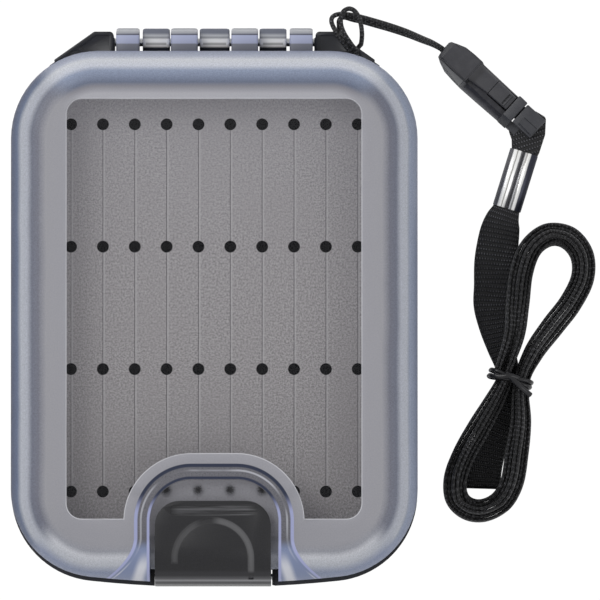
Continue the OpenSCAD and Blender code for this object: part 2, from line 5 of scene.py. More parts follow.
import bmesh
import bpy
import numpy as np
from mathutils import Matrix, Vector


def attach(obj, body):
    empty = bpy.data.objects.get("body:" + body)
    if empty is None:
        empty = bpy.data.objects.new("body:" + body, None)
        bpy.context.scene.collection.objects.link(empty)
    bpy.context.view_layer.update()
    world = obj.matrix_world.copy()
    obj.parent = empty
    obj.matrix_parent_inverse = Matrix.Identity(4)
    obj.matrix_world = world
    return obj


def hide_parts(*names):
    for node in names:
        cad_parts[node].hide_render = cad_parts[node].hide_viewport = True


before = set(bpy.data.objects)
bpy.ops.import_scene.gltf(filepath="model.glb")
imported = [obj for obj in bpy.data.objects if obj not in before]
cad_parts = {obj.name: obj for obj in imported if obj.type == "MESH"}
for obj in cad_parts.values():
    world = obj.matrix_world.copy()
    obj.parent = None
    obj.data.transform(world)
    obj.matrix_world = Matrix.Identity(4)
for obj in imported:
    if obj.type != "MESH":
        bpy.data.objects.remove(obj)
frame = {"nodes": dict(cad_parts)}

bl_info = {
    "name": "Fly Box Looks",
    "version": (1, 0, 0),
    "blender": (4, 5, 0),
    "location": "View3D > Sidebar > Fly Box",
    "description": "Builds the looks of a double-sided fly box and its neck strap",
    "category": "Object",
}

# ------------------------------------------------- sizes in millimetres, turns in radians
MM = 0.001
MID_Z = 22.0
HALF_W = 51.0
CORNER_R = 22.0
REAR_Y = 64.0
FRONT_Y = -69.5
BOW_R = 300.0
ARC_STEPS = 16
CLEAR_Y = -75.0
RIM_Z = 5.2
LID_H = 16.8
SHOULDER_R = 9.0
HINGE_Y = 66.75
LID_MIDDLE_Y = -2.65
LID_HALF_Y = 66.65
BAY_W = 32.2
BAY_REAR = -43.55
BAY_HALF_Y = 40.0
BAY_R = 10.5
BAY_DEPTH = 3.1
RIB_W = 3.9
WINDOW = [(-37, 51.75, 3.6), (-37, -53, 5), (-22.5, -54.2, 1), (-22.5, -37, 12.5),
          (22.5, -37, 12.5), (22.5, -54.2, 1), (37, -53, 5), (37, 51.75, 3.6)]
WINDOW_MIDDLE_Y = -0.9
WINDOW_HALF = (37.0, 52.65)
KNUCKLES = {"front_lid": [(-21.8, 5.8), (-7.6, 6.7), (7.6, 6.7), (21.8, 5.8)],
            "back_lid": [(-14.7, 6.8), (0, 7.5), (14.7, 6.8)]}
KNUCKLE_R = 3.5
LATCH_SHIFT = -0.3
LATCH_W = 29.0
LATCH_T = 2.4
LATCH_TOP = 22.0
LATCH_ARC = 9.75
LATCH_REACH = 21.3
LATCH_FRONT = -70.25
LATCH_PIN_Y = -67.85
LATCH_PIN_Z = 2.6
ARCH_Y = -63.4
ARCH_OUTER = 10.2
ARCH_INNER = 8.9
FOAM_Z = 1.4
FOAM_T = 7.6
FOAM_EDGE = [(6.9, 0.0), (6.8, 0.3), (6.8, 6.8), (6.95, 7.25), (7.3, 7.55), (7.8, FOAM_T)]
FOAM_NOTCH = (17.9, -57.65)
HOLE_COLUMNS = 10
HOLE_ROWS = 4
HOLE_PITCH = 8.0
ROW_PITCH = 30.75
HOLE_MIDDLE_Y = -0.375
LAST_HOLES_Y = -46.2
LUG_EYE = (35.0, 62.5, 2.1)
CAMERA_FAR = 3000.0
CAMERA_TILT = math.radians(1.5)
CAMERA_AIM = (21.5, 1.25, 44.0)
SENSOR = 36.0
VIEW_MM = 150.0

# Route of the thin cord round the right lug, and of the strap's two leads and its hank.
CORD_ROUTE = [
    (58.5, 65.2, 4.2), (57.4, 66.22, 4.2), (54.97, 67.5, 7), (52.34, 68.42, 11.5),
    (48.43, 69.86, 16.5), (44.55, 71.1, 19), (40.68, 72.19, 20.8), (37.33, 73.05, 22.2),
    (34.75, 73.56, 23.2), (32.44, 73.81, 24), (30.77, 73.64, 24.7), (29.66, 72.98, 25.2),
    (29.4, 71.92, 25.8), (29.87, 70.5, 25.9), (30.84, 68.8, 26.7), (31.92, 67.13, 26.7),
    (32.99, 65.59, 26.6), (34, 64.4, 26.35), (34.25, 63.15, 25.8), (34.25, 62.75, 24.9),
    (34.25, 62.7, 22), (34.25, 62.75, 19.1), (34.3, 63.15, 18.2), (34.5, 63.9, 17.7),
    (35.6, 65, 17), (36.8, 66.4, 17.6), (36.87, 66.32, 21), (37.04, 67.39, 24),
    (37.08, 68.94, 26.4), (36.85, 71.02, 25.9), (36.28, 72.95, 25.7), (35.26, 74.51, 25.4),
    (33.97, 75.1, 25.4), (32.69, 74.63, 25.6), (31.97, 73.46, 25.9), (31.74, 72.05, 25.8),
    (31.97, 70.44, 26.2), (32.68, 68.64, 27.3), (33.92, 66.72, 27.3), (34.79, 65.53, 26.9),
    (35.75, 64.4, 26.35), (35.75, 63.15, 25.8), (35.75, 62.75, 24.9), (35.75, 62.7, 22),
    (35.75, 62.75, 19.1), (35.7, 63.15, 18.2), (35.4, 63.9, 16.4), (34.2, 65.4, 15.6),
    (32.4, 67.6, 15.6), (31.4, 69.1, 17.4), (31.2, 69.95, 19.6), (31.34, 70.65, 21.8),
    (31.31, 72.05, 23.2), (31.8, 72.81, 23.3), (32.83, 73.01, 22.9), (34.76, 72.48, 22.2),
    (37.33, 71.97, 21.2), (40.68, 71.09, 19.8), (44.56, 70.08, 17.8), (48.44, 68.94, 15.2),
    (52.35, 67.71, 10.2), (54.98, 66.97, 5.7), (57.34, 65.89, 2.9), (58.4, 64.6, 2.9),
]
LEAD_ROUTE = [
    (74.4, 27.4, 1.3), (73.75, 25.2, 1.3), (72.9, 22.9, 1.3), (72.4, 20.8, 1.2), (71.8, 17.5, 1),
    (71.1, 12, 0.9), (70.9, 6, 0.8), (70.6, 1, 0.8), (71.2, -4.4, 0.9), (72.4, -9.6, 1.2),
    (73.8, -14, 1.5), (74.4, -17.75, 1.5), (73.8, -22, 1.4), (71.8, -28.5, 1), (69.4, -35, 0.8),
    (68.2, -41, 0.8), (68, -45.5, 0.8),
]
LEAD_WIDTHS = [0.62, 0.7, 0.86, 0.97, 1.04, 1.08, 1.06, 1.02, 0.86, 0.7, 0.6, 0.58, 0.64, 0.8, 0.88,
               0.88, 0.88]
LEAD_STEP = 1.4
MIDDLE_TURN = [
    (73.0, -16.9), (69.9, -23.1), (66, -29.8), (62.4, -36.4), (60.2, -42.7), (60.7, -48.1),
    (63.8, -51), (68.1, -51.4), (72.5, -49), (75.3, -44.1), (76.5, -36.6), (77.4, -28.6),
    (77.4, -18.9), (80.4, -11.4), (85.2, -4.5), (89.7, 1.5), (92.7, 7.8), (92.5, 13.5),
    (89.3, 17.5), (84.6, 18.1), (80.4, 14.9), (78.2, 8.8), (77.3, 0.7), (76.3, -7.4),
]
LEAD_SHARE = [1, 1, 1, 1, 1, 0.3, 0, 0, 0.1, 0.9, 1, 1, 1, 1, 0.4, 0, 0, 0, 0, 0.3, 1, 1, 1, 1]
HANK_TURNS = 3
LOOP_STEP = 1.95
WAIST_STEP = 1.32
EDGE_LIFT = 3.5
STRAP_REST = 0.3
OVER_LEAD = 3.6
CLIMB = 0.14
WAIST = (74.7, -17.75)
BUCKLE_AT = (58.3, 64.5)
BUCKLE_TURN = math.radians(-42.5)
TAB_PLAN = [(24.9, -3.3, 0.5), (24.9, 3.0, 0.3), (26.6, 5.0, 0.4), (29.6, 5.6, 1.2),
            (32.4, 2.2, 2.0), (34.4, -2.2, 1.5), (35.1, -4.6, 0.3), (29.4, -7.0, 0.3),
            (26.9, -4.4, 0.8)]
CRIMP_TOP = (78.35, 39.85)
CRIMP_TURN = math.radians(252.7)
CRIMP_LEN = 15.0
BARREL_Z = 2.1
TIE_TURN = math.radians(-17.0)
FLOOR_GLOW = 1.05
FLOOR_Z = -0.05


# ---------------------------------------------------------------- mesh helpers
def mesh(name, verts, faces, smooth=True):
    """Makes a mesh object from points in millimetres."""
    data = bpy.data.meshes.new(name)
    data.from_pydata([tuple(c * MM for c in v) for v in verts], [], faces)
    data.update()
    piece = bpy.data.objects.new(name, data)
    bpy.context.scene.collection.objects.link(piece)
    work = bmesh.new()
    work.from_mesh(data)
    bmesh.ops.recalc_face_normals(work, faces=work.faces)
    work.to_mesh(data)
    work.free()
    if smooth:
        data.shade_smooth()
    return piece


def loft(rings):
    """Points and faces of a closed skin over rings of equal count."""
    n, last = len(rings[0]), len(rings) - 1
    faces = [(a + k, a + n + k, a + n + (k + 1) % n, a + (k + 1) % n)
             for a in range(0, last * n, n) for k in range(n)]
    faces += [tuple(range(n)), tuple(last * n + k for k in range(n))]
    return [p for ring in rings for p in ring], faces


def smooth_line(points, step=0.8):
    """Catmull-Rom line through points, sampled about every step millimetres."""
    p = [np.array(q, float) for q in points]
    p = [2 * p[0] - p[1], *p, 2 * p[-1] - p[-2]]
    out = []
    for i in range(1, len(p) - 2):
        n = max(2, int(round(np.linalg.norm(p[i + 1] - p[i]) / step)))
        for k in range(n):
            t = k / n
            out.append(0.5 * (2 * p[i] + (p[i + 1] - p[i - 1]) * t
                              + (2 * p[i - 1] - 5 * p[i] + 4 * p[i + 1] - p[i + 2]) * t * t
                              + (3 * p[i] - p[i - 1] - 3 * p[i + 1] + p[i + 2]) * t ** 3))
    out.append(p[-2])
    return out


def tangents(line):
    """Directions along a line."""
    tangent = np.gradient(np.array(line, float), axis=0)
    return tangent / np.linalg.norm(tangent, axis=1)[:, None]


def frames(line):
    """Tangent, sideways and upward directions along a line that is never vertical for long."""
    tangent = tangents(line)
    side = np.cross(tangent, [0, 0, 1.0])
    side /= np.linalg.norm(side, axis=1)[:, None]
    return tangent, side, np.cross(side, tangent)


def travelled(line):
    """How far along a line each of its points is."""
    along = [0.0]
    for a, b in zip(line, line[1:]):
        along.append(along[-1] + math.dist(a, b))
    return along


def map_weave(piece, along, around):
    """UV map of a skin over rings, from the places along its line and round its section."""
    n = len(around) - 1
    layer = piece.data.uv_layers.new(name="weave")
    for face in piece.data.polygons:
        ks = [v % n for v in face.vertices]
        wraps = len(ks) == 4 and max(ks) == n - 1 and min(ks) == 0
        for corner in face.loop_indices:
            v = piece.data.loops[corner].vertex_index
            layer.data[corner].uv = (along[v // n], around[n if wraps and v % n == 0 else v % n])
    return piece


def band(name, line, roll, width, thick):
    """Flat webbing along a line, with one roll, and a width and thickness at each point.

    Its UV map holds millimetres along the line and round the section.
    """
    tangent, side, up = frames(line)
    xs = [math.sin(math.pi * (k / 7 - 0.5)) for k in range(8)]
    upper = [(x, (1 - abs(x) ** 8) ** 0.5) for x in xs]
    section = upper + [(x, -y) for x, y in reversed(upper[1:-1])]
    wide, deep = max(width) / 2, max(thick) / 2
    around = travelled([(x * wide, y * deep) for x, y in (*section, section[0])])
    c, s = math.cos(roll), math.sin(roll)
    rings = []
    for i, p in enumerate(line):
        across = side[i] * c + up[i] * s
        out = np.cross(across, tangent[i])
        rings.append([tuple(np.array(p) + across * x * width[i] / 2 + out * y * thick[i] / 2)
                      for x, y in section])
    return map_weave(mesh(name, *loft(rings)), travelled(line), around)


def tube(name, line, diameter, sides=12):
    """Round cord along a line; its UV map holds millimetres along and turns around."""
    line, tangent = np.array(line, float), tangents(line)
    side = np.cross(tangent[0], [0.3, 0.2, 1.0])
    rings = []
    for i, p in enumerate(line):
        side = side - tangent[i] * np.dot(side, tangent[i])
        side /= np.linalg.norm(side)
        up = np.cross(side, tangent[i])
        rings.append([tuple(p + (side * c + up * s) * diameter / 2)
                      for c, s in circle(0, 0, 1, sides)])
    return map_weave(mesh(name, *loft(rings)), travelled(line),
                     [k / sides for k in range(sides + 1)])


def plan(inset):
    """Outline of the box in plan, with its bowed front, moved in by inset."""
    r = CORNER_R - inset
    cx = HALF_W - CORNER_R
    cy = REAR_Y - CORNER_R
    bow_y = FRONT_Y + BOW_R
    fy = bow_y - math.sqrt((BOW_R - CORNER_R) ** 2 - cx ** 2)
    swing = math.asin(cx / (BOW_R - CORNER_R))
    low, high = 1.5 * math.pi - swing, 1.5 * math.pi + swing
    points = []
    for x, y, radius, a0, a1 in ((cx, cy, r, 0, math.pi / 2), (-cx, cy, r, math.pi / 2, math.pi),
                                 (-cx, fy, r, math.pi, low), (0, bow_y, BOW_R - inset, low, high),
                                 (cx, fy, r, high, math.tau)):
        turns = [a0 + (a1 - a0) * i / ARC_STEPS for i in range(ARC_STEPS + 1)]
        points += [(x + radius * math.cos(a), y + radius * math.sin(a)) for a in turns]
    return [p for i, p in enumerate(points) if math.dist(p, points[i - 1]) > 1e-4]


def fillet(corners, steps=8):
    """Closed outline through (x, y, radius) corners, each rounded by its radius."""
    points = []
    for i, (x, y, r) in enumerate(corners):
        p = np.array((x, y), float)
        a = np.array(corners[i - 1][:2]) - p
        b = np.array(corners[(i + 1) % len(corners)][:2]) - p
        a, b = a / np.linalg.norm(a), b / np.linalg.norm(b)
        half = math.acos(float(np.clip(a @ b, -1, 1))) / 2
        middle = (a + b) / np.linalg.norm(a + b)
        centre = p + middle * r / math.sin(half)
        start, end = p + a * r / math.tan(half) - centre, p + b * r / math.tan(half) - centre
        turn = math.acos(float(np.clip(start @ end / r ** 2, -1, 1)))
        for k in range(steps + 1):
            t = k / steps
            q = (start * math.sin((1 - t) * turn) + end * math.sin(t * turn)) / math.sin(turn)
            points.append(tuple(centre + q))
    return points


def bay_plan(grow):
    """Round-topped outline of the latch bay, moved outwards by grow, past the box's front."""
    half, rear, r = BAY_W / 2 + grow, BAY_REAR + grow, BAY_R + grow
    return fillet([(half, CLEAR_Y, 0.1), (half, rear, r), (-half, rear, r),
                   (-half, CLEAR_Y, 0.1)], 12)


def circle(x, y, radius, count):
    """Points of a circle in a plane."""
    return [(x + radius * math.cos(a), y + radius * math.sin(a))
            for a in (math.tau * k / count for k in range(count))]


def bake(piece):
    """Turns a piece and its modifiers into a plain mesh."""
    graph = bpy.context.evaluated_depsgraph_get()
    made = bpy.data.meshes.new_from_object(piece.evaluated_get(graph))
    piece.modifiers.clear()
    piece.data = made
    return piece


def modify(piece, kind, **settings):
    """Adds a modifier, applies it and leaves a plain mesh."""
    modifier = piece.modifiers.new(kind.title(), kind)
    for key, value in settings.items():
        setattr(modifier, key, value)
    return bake(piece)


def cut(piece, *cutters, operation="DIFFERENCE", **more):
    """Takes the cutters out of a piece, or keeps what they share, and removes them."""
    for cutter in cutters:
        modify(piece, "BOOLEAN", operation=operation, object=cutter, solver="EXACT", **more)
        bpy.data.objects.remove(cutter)
    return piece


def bevel(piece, width, segments, angle):
    """Rounds the edges that are sharper than the angle."""
    return modify(piece, "BEVEL", width=width * MM, segments=segments, limit_method="ANGLE",
                  angle_limit=math.radians(angle))


def prism(name, outline, z0, z1):
    """Closed prism over an outline, between two heights."""
    return mesh(name, *loft([[(x, y, z) for x, y in outline] for z in (z0, z1)]), smooth=False)


def soften(piece, angle=35):
    """Shades smooth, with edges sharper than the angle kept."""
    piece.data.shade_smooth()
    piece.data.set_sharp_from_angle(angle=math.radians(angle))
    return piece


def dress(piece, material):
    """Gives a piece one material."""
    piece.data.materials.clear()
    piece.data.materials.append(material)
    return piece


# ---------------------------------------------------------------- node helpers
def join(tree, value, place):
    """Links a socket, or sets a plain value."""
    if isinstance(value, Socket):
        tree.links.new(value.output, place)
    else:
        place.default_value = value


def set_stops(marks, stops):
    """Gives a ramp's marks their positions, then their colours from low to high."""
    while len(marks) < len(stops):
        marks.new(0.5)
    for mark, (at, _) in zip(marks, stops):
        mark.position = at
    for mark, (_, color) in zip(sorted(marks, key=lambda m: m.position), stops):
        mark.color = (*color, 1)


def add_node(tree, kind, settings=None, values=None):
    """Adds a node: its settings first, then the values or links of its sockets."""
    node = tree.nodes.new(kind)
    for key, value in (settings or {}).items():
        if key == "stops":
            set_stops(node.color_ramp.elements, value)
        else:
            setattr(node, key, value)
    for key, value in (values or {}).items():
        join(tree, value, node.inputs[key])
    return node


def maths(tree, kind, *values):
    """A Math node on these values."""
    node = add_node(tree, "ShaderNodeMath", {"operation": kind}, dict(enumerate(values)))
    return Socket(tree, node.outputs[0])


class Socket:
    """A value in a node tree that takes ordinary arithmetic."""

    def __init__(self, tree, output):
        self.tree, self.output = tree, output

    def math(self, kind, *others):
        return maths(self.tree, kind, self, *others)

    def __add__(self, other):
        return self.math("ADD", other)

    def __sub__(self, other):
        return self.math("SUBTRACT", other)

    def __rsub__(self, other):
        return maths(self.tree, "SUBTRACT", other, self)

    def __mul__(self, other):
        return self.math("MULTIPLY", other)

    def __truediv__(self, other):
        return self.math("DIVIDE", other)

    def __rtruediv__(self, other):
        return maths(self.tree, "DIVIDE", other, self)

    def __neg__(self):
        return self * -1.0

    __radd__ = __add__
    __rmul__ = __mul__

    def least(self, other):
        return self.math("MINIMUM", other)

    def most(self, other):
        return self.math("MAXIMUM", other)

    def size(self):
        return self.math("ABSOLUTE")

    def ramp(self, low, high):
        """0 at low, 1 at high, eased between."""
        node = add_node(self.tree, "ShaderNodeMapRange", {"interpolation_type": "SMOOTHSTEP"},
                        {"Value": self, "From Min": low, "From Max": high})
        return Socket(self.tree, node.outputs["Result"])


class Finish:
    """One Principled material with nodes made by calls."""

    def __init__(self, name, color, roughness, **constant):
        self.material = bpy.data.materials.new(name)
        self.material.use_nodes = True
        self.tree = self.material.node_tree
        self.shader = self.tree.nodes["Principled BSDF"]
        self.material.diffuse_color = (*color, 1)
        self.set({"Base Color": (*color, 1), "Roughness": roughness, **constant})

    def set(self, values):
        """Sets or links sockets of the shader."""
        for key, value in values.items():
            join(self.tree, value, self.shader.inputs[key])

    def node(self, kind, settings=None, values=None, output=0):
        """One output of any node."""
        return Socket(self.tree, add_node(self.tree, kind, settings, values).outputs[output])

    def place(self):
        """Object coordinates in millimetres."""
        where = self.node("ShaderNodeTexCoord", output="Object")
        return self.node("ShaderNodeVectorMath", {"operation": "SCALE"},
                         {0: where, "Scale": 1 / MM})

    def stretched(self, where, factors):
        """Coordinates multiplied axis by axis."""
        return self.node("ShaderNodeVectorMath", {"operation": "MULTIPLY"}, {0: where, 1: factors})

    def split(self, vector):
        """The three parts of a vector."""
        node = add_node(self.tree, "ShaderNodeSeparateXYZ", values={0: vector})
        return [Socket(self.tree, output) for output in node.outputs]

    def noise(self, where, scale, detail=3.0, rough=0.55):
        return self.node("ShaderNodeTexNoise", output="Fac", values={
            "Vector": where, "Scale": scale, "Detail": detail, "Roughness": rough})

    def cells(self, where, scale):
        return self.node("ShaderNodeTexVoronoi", output="Distance",
                         values={"Vector": where, "Scale": scale})

    def mix(self, factor, a, b):
        """Mixes two colours."""
        a, b = (c if isinstance(c, Socket) else (*c, 1) for c in (a, b))
        return self.node("ShaderNodeMix", {"data_type": "RGBA"}, {0: factor, 6: a, 7: b}, output=2)

    def stops(self, value, low, high, *marks):
        """Colour along a value: marks of a value and a display colour, between low and high."""
        span = high - low
        stops = [((at - low) / span, tone(*color)) for at, *color in marks]
        return self.node("ShaderNodeValToRGB", {"stops": stops}, {0: (value - low) / span})

    def rounded(self, x, y, half_x, half_y, radius):
        """Distance to a rounded rectangle about the origin, negative inside."""
        qx, qy = x.size() - (half_x - radius), y.size() - (half_y - radius)
        away = (qx.most(0.0) * qx.most(0.0) + qy.most(0.0) * qy.most(0.0)).math("SQRT")
        return away + qx.most(qy).least(0.0) - radius

    def bump(self, height, strength, distance):
        self.set({"Normal": self.node("ShaderNodeBump", values={
            "Height": height, "Strength": strength, "Distance": distance})})


def moulded(name, color, roughness, spread=0.35):
    """Moulded plastic or rubber with a fine grain and slightly uneven gloss."""
    finish = Finish(name, color, roughness)
    where = finish.place()
    fine = finish.noise(where, 6.0)
    broad = finish.noise(where, 0.08, 4.0)
    light = tuple(min(1.0, c * (1 + spread) + 0.004) for c in color)
    finish.set({"Base Color": finish.mix(broad.ramp(0.3, 0.7), color, light),
                "Roughness": (broad - 0.5) * 0.22 + (fine - 0.5) * 0.12 + roughness})
    finish.bump(fine, 0.5, 0.02 * MM)
    return finish.material


def tone(red, green, blue):
    """Linear colour of a display colour from 0 to 255."""
    return tuple((c / 255) ** 2.2 for c in (red, green, blue))


def metal(name, color, roughness, brushed):
    """Bright metal with faint draw marks."""
    finish = Finish(name, color, roughness, Metallic=1.0)
    marks = finish.noise(finish.stretched(finish.place(), brushed), 3.0, 5.0)
    finish.set({"Roughness": (marks - 0.5) * 0.3 + roughness})
    finish.bump(marks, 0.25, 0.01 * MM)
    return finish.material


def latch_finish(dark):
    """Satin black plastic with pale streaks along its finger lip, a paler arched groove, and
    painted highlight and shade across its curved front.
    """
    finish = Finish("latch_black", dark, 0.34)
    where = finish.place()
    x, y, _ = finish.split(where)
    fine = finish.noise(where, 4.0)
    streaks = finish.noise(finish.stretched(where, (0.05, 2.6, 1.0)), 1.0, 4.0)
    dx = x - LATCH_SHIFT
    dy = (y - ARCH_Y).most(0.0)
    radius = (dx * dx + dy * dy).math("SQRT") - (ARCH_OUTER + ARCH_INNER) / 2
    ring = radius.size().ramp(0.95, 0.55)
    side = x.ramp(-1, 2) * 0.85 + x.ramp(-3.0, -5.5) * 0.4 + 0.12
    legs = y.ramp(-68.8, -68.4).least(1 - x.ramp(0, -1) * y.ramp(-64.4, -64.9))
    lip = (y + 51.3).size().ramp(1.5, 1.1) * x.size().ramp(11.5, 8.0)
    body = finish.mix(fine.ramp(0.3, 0.7), (0.013, 0.013, 0.015), (0.022, 0.022, 0.026))
    toned = finish.mix(ring * side * legs, body, (0.14, 0.14, 0.147))
    toned = finish.mix(lip * streaks.ramp(0.38, 0.62) * 0.9, toned, (0.13, 0.13, 0.14))
    # Painted highlight and shade in bands across the latch's curved front over the box's edge.
    painted_curve_light = finish.stops(y, -70.4, -65.0, (-70.3, 140, 140, 140), (-69.9, 128, 128, 130),
                        (-69.6, 60, 60, 64), (-69.2, 66, 66, 70), (-68.9, 150, 150, 154),
                        (-68.4, 84, 84, 88), (-67.6, 44, 44, 48), (-66.0, 58, 58, 62))
    finish.set({"Base Color": finish.mix(y.ramp(-66.2, -67.2), toned, painted_curve_light),
                "Roughness": (fine - 0.5) * 0.15 + (streaks - 0.5) * 0.2 + 0.34})
    finish.bump(fine + lip * streaks, 0.4, 0.03 * MM)
    return finish.material


def crimp_finish():
    """Polished metal with painted reflections: bright stripes down two barrels between dark flanks,
    the brightest made to glow a little.
    """
    finish = Finish("crimp_chrome", tone(200, 200, 204), 0.2, Metallic=0.6)
    where = finish.place()
    x, y, _ = finish.split(where)
    across = ((x - CRIMP_TOP[0]) * -math.sin(CRIMP_TURN)
              + (y - CRIMP_TOP[1]) * math.cos(CRIMP_TURN))
    wobble = finish.noise(where, 0.4, 3.0) - 0.5
    # Painted reflections: bright stripes and dark flanks across the barrels.
    bands = finish.stops(
        across + wobble * 0.25, -3.7, 3.7, (-3.7, 120, 121, 126), (-2.75, 130, 130, 134),
        (-2.55, 255, 255, 255), (-1.75, 255, 255, 252), (-1.55, 170, 168, 164),
        (-1.35, 255, 255, 252), (-0.75, 250, 250, 250), (-0.55, 128, 128, 132),
        (0.3, 128, 128, 132), (0.5, 255, 255, 255), (1.0, 190, 188, 184), (1.2, 255, 255, 252),
        (1.85, 240, 240, 240), (2.05, 66, 68, 80), (3.7, 50, 52, 64))
    # Painted glow where the painted reflections are brightest.
    glow = bands.ramp(0.75, 1.0) * 0.22
    finish.set({"Base Color": bands, "Roughness": wobble * 0.1 + 0.3,
                "Emission Color": finish.mix(glow, (0, 0, 0), (1.0, 1.0, 1.0)),
                "Emission Strength": 1.0})
    return finish.material


def foam_finish(dark, pale):
    """Closed-cell foam: speckled cells, wells and slits, with painted light: shade down the wells
    and slits, a pale highlight beside each slit, paler towards the rear, and a faint glow that
    fills its shadows.
    """
    finish = Finish("grey_foam", (0.30, 0.285, 0.28), 0.95)
    where = finish.place()
    x, y, z = finish.split(where)
    grain = finish.noise(where, 2.0, 5.0, 0.85)
    broad = finish.noise(where, 0.05, 2.0)
    cells = finish.cells(where, 1.5)
    # Painted light: the foam grows paler towards the box's rear.
    lit = y.ramp(-10, 75) * (grain * 0.2 + 0.8)
    # Painted highlight: a pale line just beside each slit.
    edge = (((x - 0.32) / HOLE_PITCH).math("FRACT") - 0.5).size() * HOLE_PITCH
    edge = edge.ramp(0.34, 0.12) * y.ramp(-46.5, -45.5) * y.ramp(46.0, 45.5)
    # Painted shade: darker down the wells and slits.
    deep = (z - MID_Z).size().ramp(FOAM_Z + FOAM_T - 0.15, FOAM_Z + FOAM_T - 1.2)
    toned = finish.mix(grain.ramp(0.34, 0.66), dark, pale)
    toned = finish.mix(broad.ramp(0.35, 0.65) * 0.35, toned, (0.27, 0.255, 0.26))
    toned = finish.mix(lit * 0.4, toned, (0.34, 0.338, 0.365))
    toned = finish.mix(cells.ramp(0.16, 0.06) * grain.ramp(0.5, 0.42), toned,
                       (0.06, 0.056, 0.058))
    toned = finish.mix(edge * 0.45, toned, (0.42, 0.41, 0.42))
    # Painted fill light: a faint glow that lifts the foam's shadows, fading towards the front and
    # absent in the wells.
    glow = finish.mix(grain * 0.5, toned, (0.24, 0.25, 0.33))
    glow = finish.mix(y.ramp(-80, 5), (0.04, 0.04, 0.045), glow)
    finish.set({"Base Color": finish.mix(deep, toned, (0.006, 0.006, 0.007)),
                "Emission Color": finish.mix(deep, glow, (0, 0, 0)), "Emission Strength": 0.22})
    finish.bump(grain * 0.6 + cells * 0.6, 0.7, 0.12 * MM)
    return finish.material


def webbing(name, dark, pale, rib=1.15, wale=0.7):
    """Woven webbing: rows of short pale picks, from the piece's own UV map."""
    finish = Finish(name, (0.006, 0.006, 0.007), 0.55)
    where = finish.place()
    along, across, _ = finish.split(finish.node("ShaderNodeUVMap", {"uv_map": "weave"}))
    fuzz = finish.noise(where, 2.2, 4.0, 0.7)
    rows = along / rib + (fuzz - 0.5) * 0.35
    shift = rows.math("FLOOR") * 0.5
    row = (rows * math.tau).math("SINE") * 0.5 + 0.5
    column = ((across / wale + shift) * math.tau).math("SINE") * 0.5 + 0.5
    height = row * (column * 0.75 + 0.25)
    patch = finish.noise(where, 0.12, 2.0).ramp(0.35, 0.7)
    picks = height.ramp(0.45, 0.95) * (patch * 0.7 + 0.3)
    finish.set({"Base Color": finish.mix(picks, dark, pale),
                "Roughness": (fuzz - 0.5) * 0.3 + 0.5, "Sheen Weight": 0.15})
    finish.bump(height + fuzz * 0.2, 0.8, 0.3 * MM)
    return finish.material


def buckle_finish():
    """Black moulded plastic with painted light: paler down the side that faces away from the box's
    rear, with bands of painted light and shade across it and painted shade at the step by the ramp.
    """
    finish = Finish("buckle_black", (0.04, 0.04, 0.046), 0.42)
    where = finish.place()
    x, y, _ = finish.split(where)
    c, s = math.cos(BUCKLE_TURN), math.sin(BUCKLE_TURN)
    x, y = x - BUCKLE_AT[0], y - BUCKLE_AT[1]
    u, v = x * c + y * s, y * c - x * s
    fine = finish.noise(where, 5.0)
    smear = finish.noise(where, 0.5, 3.0)
    # Painted light and shade in bands across the buckle: pale side walls and a dark line along
    # their edge.
    front = finish.stops(v, -4, 6, (-3.6, 128, 129, 130), (-2.0, 104, 105, 108),
                         (-1.7, 44, 44, 48), (-1.2, 64, 64, 69), (4.4, 68, 68, 73),
                         (5.0, 54, 54, 59))
    rear = finish.stops(v, -4, 6, (-3.6, 140, 140, 141), (-2.9, 96, 96, 100), (-2.3, 50, 50, 56),
                        (-0.3, 46, 46, 53), (0.3, 74, 74, 78), (3.6, 66, 66, 71),
                        (4.6, 92, 92, 96))
    toned = finish.mix(u.ramp(8.2, 9.4), front, rear)
    toned = finish.mix(u.ramp(20.8, 21.1), toned, tone(66, 67, 72))
    # Painted shade at the step where the socket drops to the ramp.
    step = (u - 9.3).size().ramp(1.6, 0.4) * v.ramp(-2.0, -1.0) * 0.6
    toned = finish.mix(step, toned, tone(40, 40, 44))
    toned = finish.mix(smear.ramp(0.4, 0.8) * 0.35, toned, tone(88, 88, 92))
    finish.set({"Base Color": toned, "Roughness": (fine - 0.5) * 0.15 + 0.42})
    finish.bump(fine, 0.5, 0.03 * MM)
    return finish.material


def edge_bands(finish, x, y, inset, broad):
    """Bands of light down the lid's rounded edge: at its sides, its rear and its front."""
    lit = inset + (broad - 0.5) * 0.7
    sides = finish.stops(lit, 0, 16, (0, 70, 76, 98), (0.45, 92, 102, 130), (1.7, 118, 130, 158),
                         (2.7, 206, 210, 220), (4.2, 198, 202, 214), (5.4, 126, 130, 146),
                         (7.0, 128, 130, 144), (9.0, 190, 190, 197), (13.8, 184, 184, 192))
    sides = finish.mix(x.ramp(0, 10) * inset.ramp(2.6, 1.8) * 0.6, sides, tone(188, 198, 222))
    rear = finish.stops(inset, 0, 16, (0, 160, 168, 194), (1.5, 200, 206, 224),
                        (2.4, 240, 243, 250), (4.0, 230, 234, 246), (5.2, 164, 176, 202),
                        (8.2, 120, 130, 154), (9.2, 160, 160, 170), (11.0, 206, 206, 214))
    front = finish.stops(lit, 0, 16, (0, 170, 180, 206), (2.4, 158, 168, 196),
                         (4.2, 206, 210, 220), (6.2, 222, 224, 232), (7.6, 174, 176, 186),
                         (9.2, 186, 186, 194), (12.0, 184, 184, 192))
    turn = (y.size() - 44.65 - (x.size() - 29.0)).ramp(-5, 5)
    around = finish.mix(turn * y.ramp(-1, 1), sides, rear)
    return finish.mix(turn * y.ramp(1, -1), around, front)


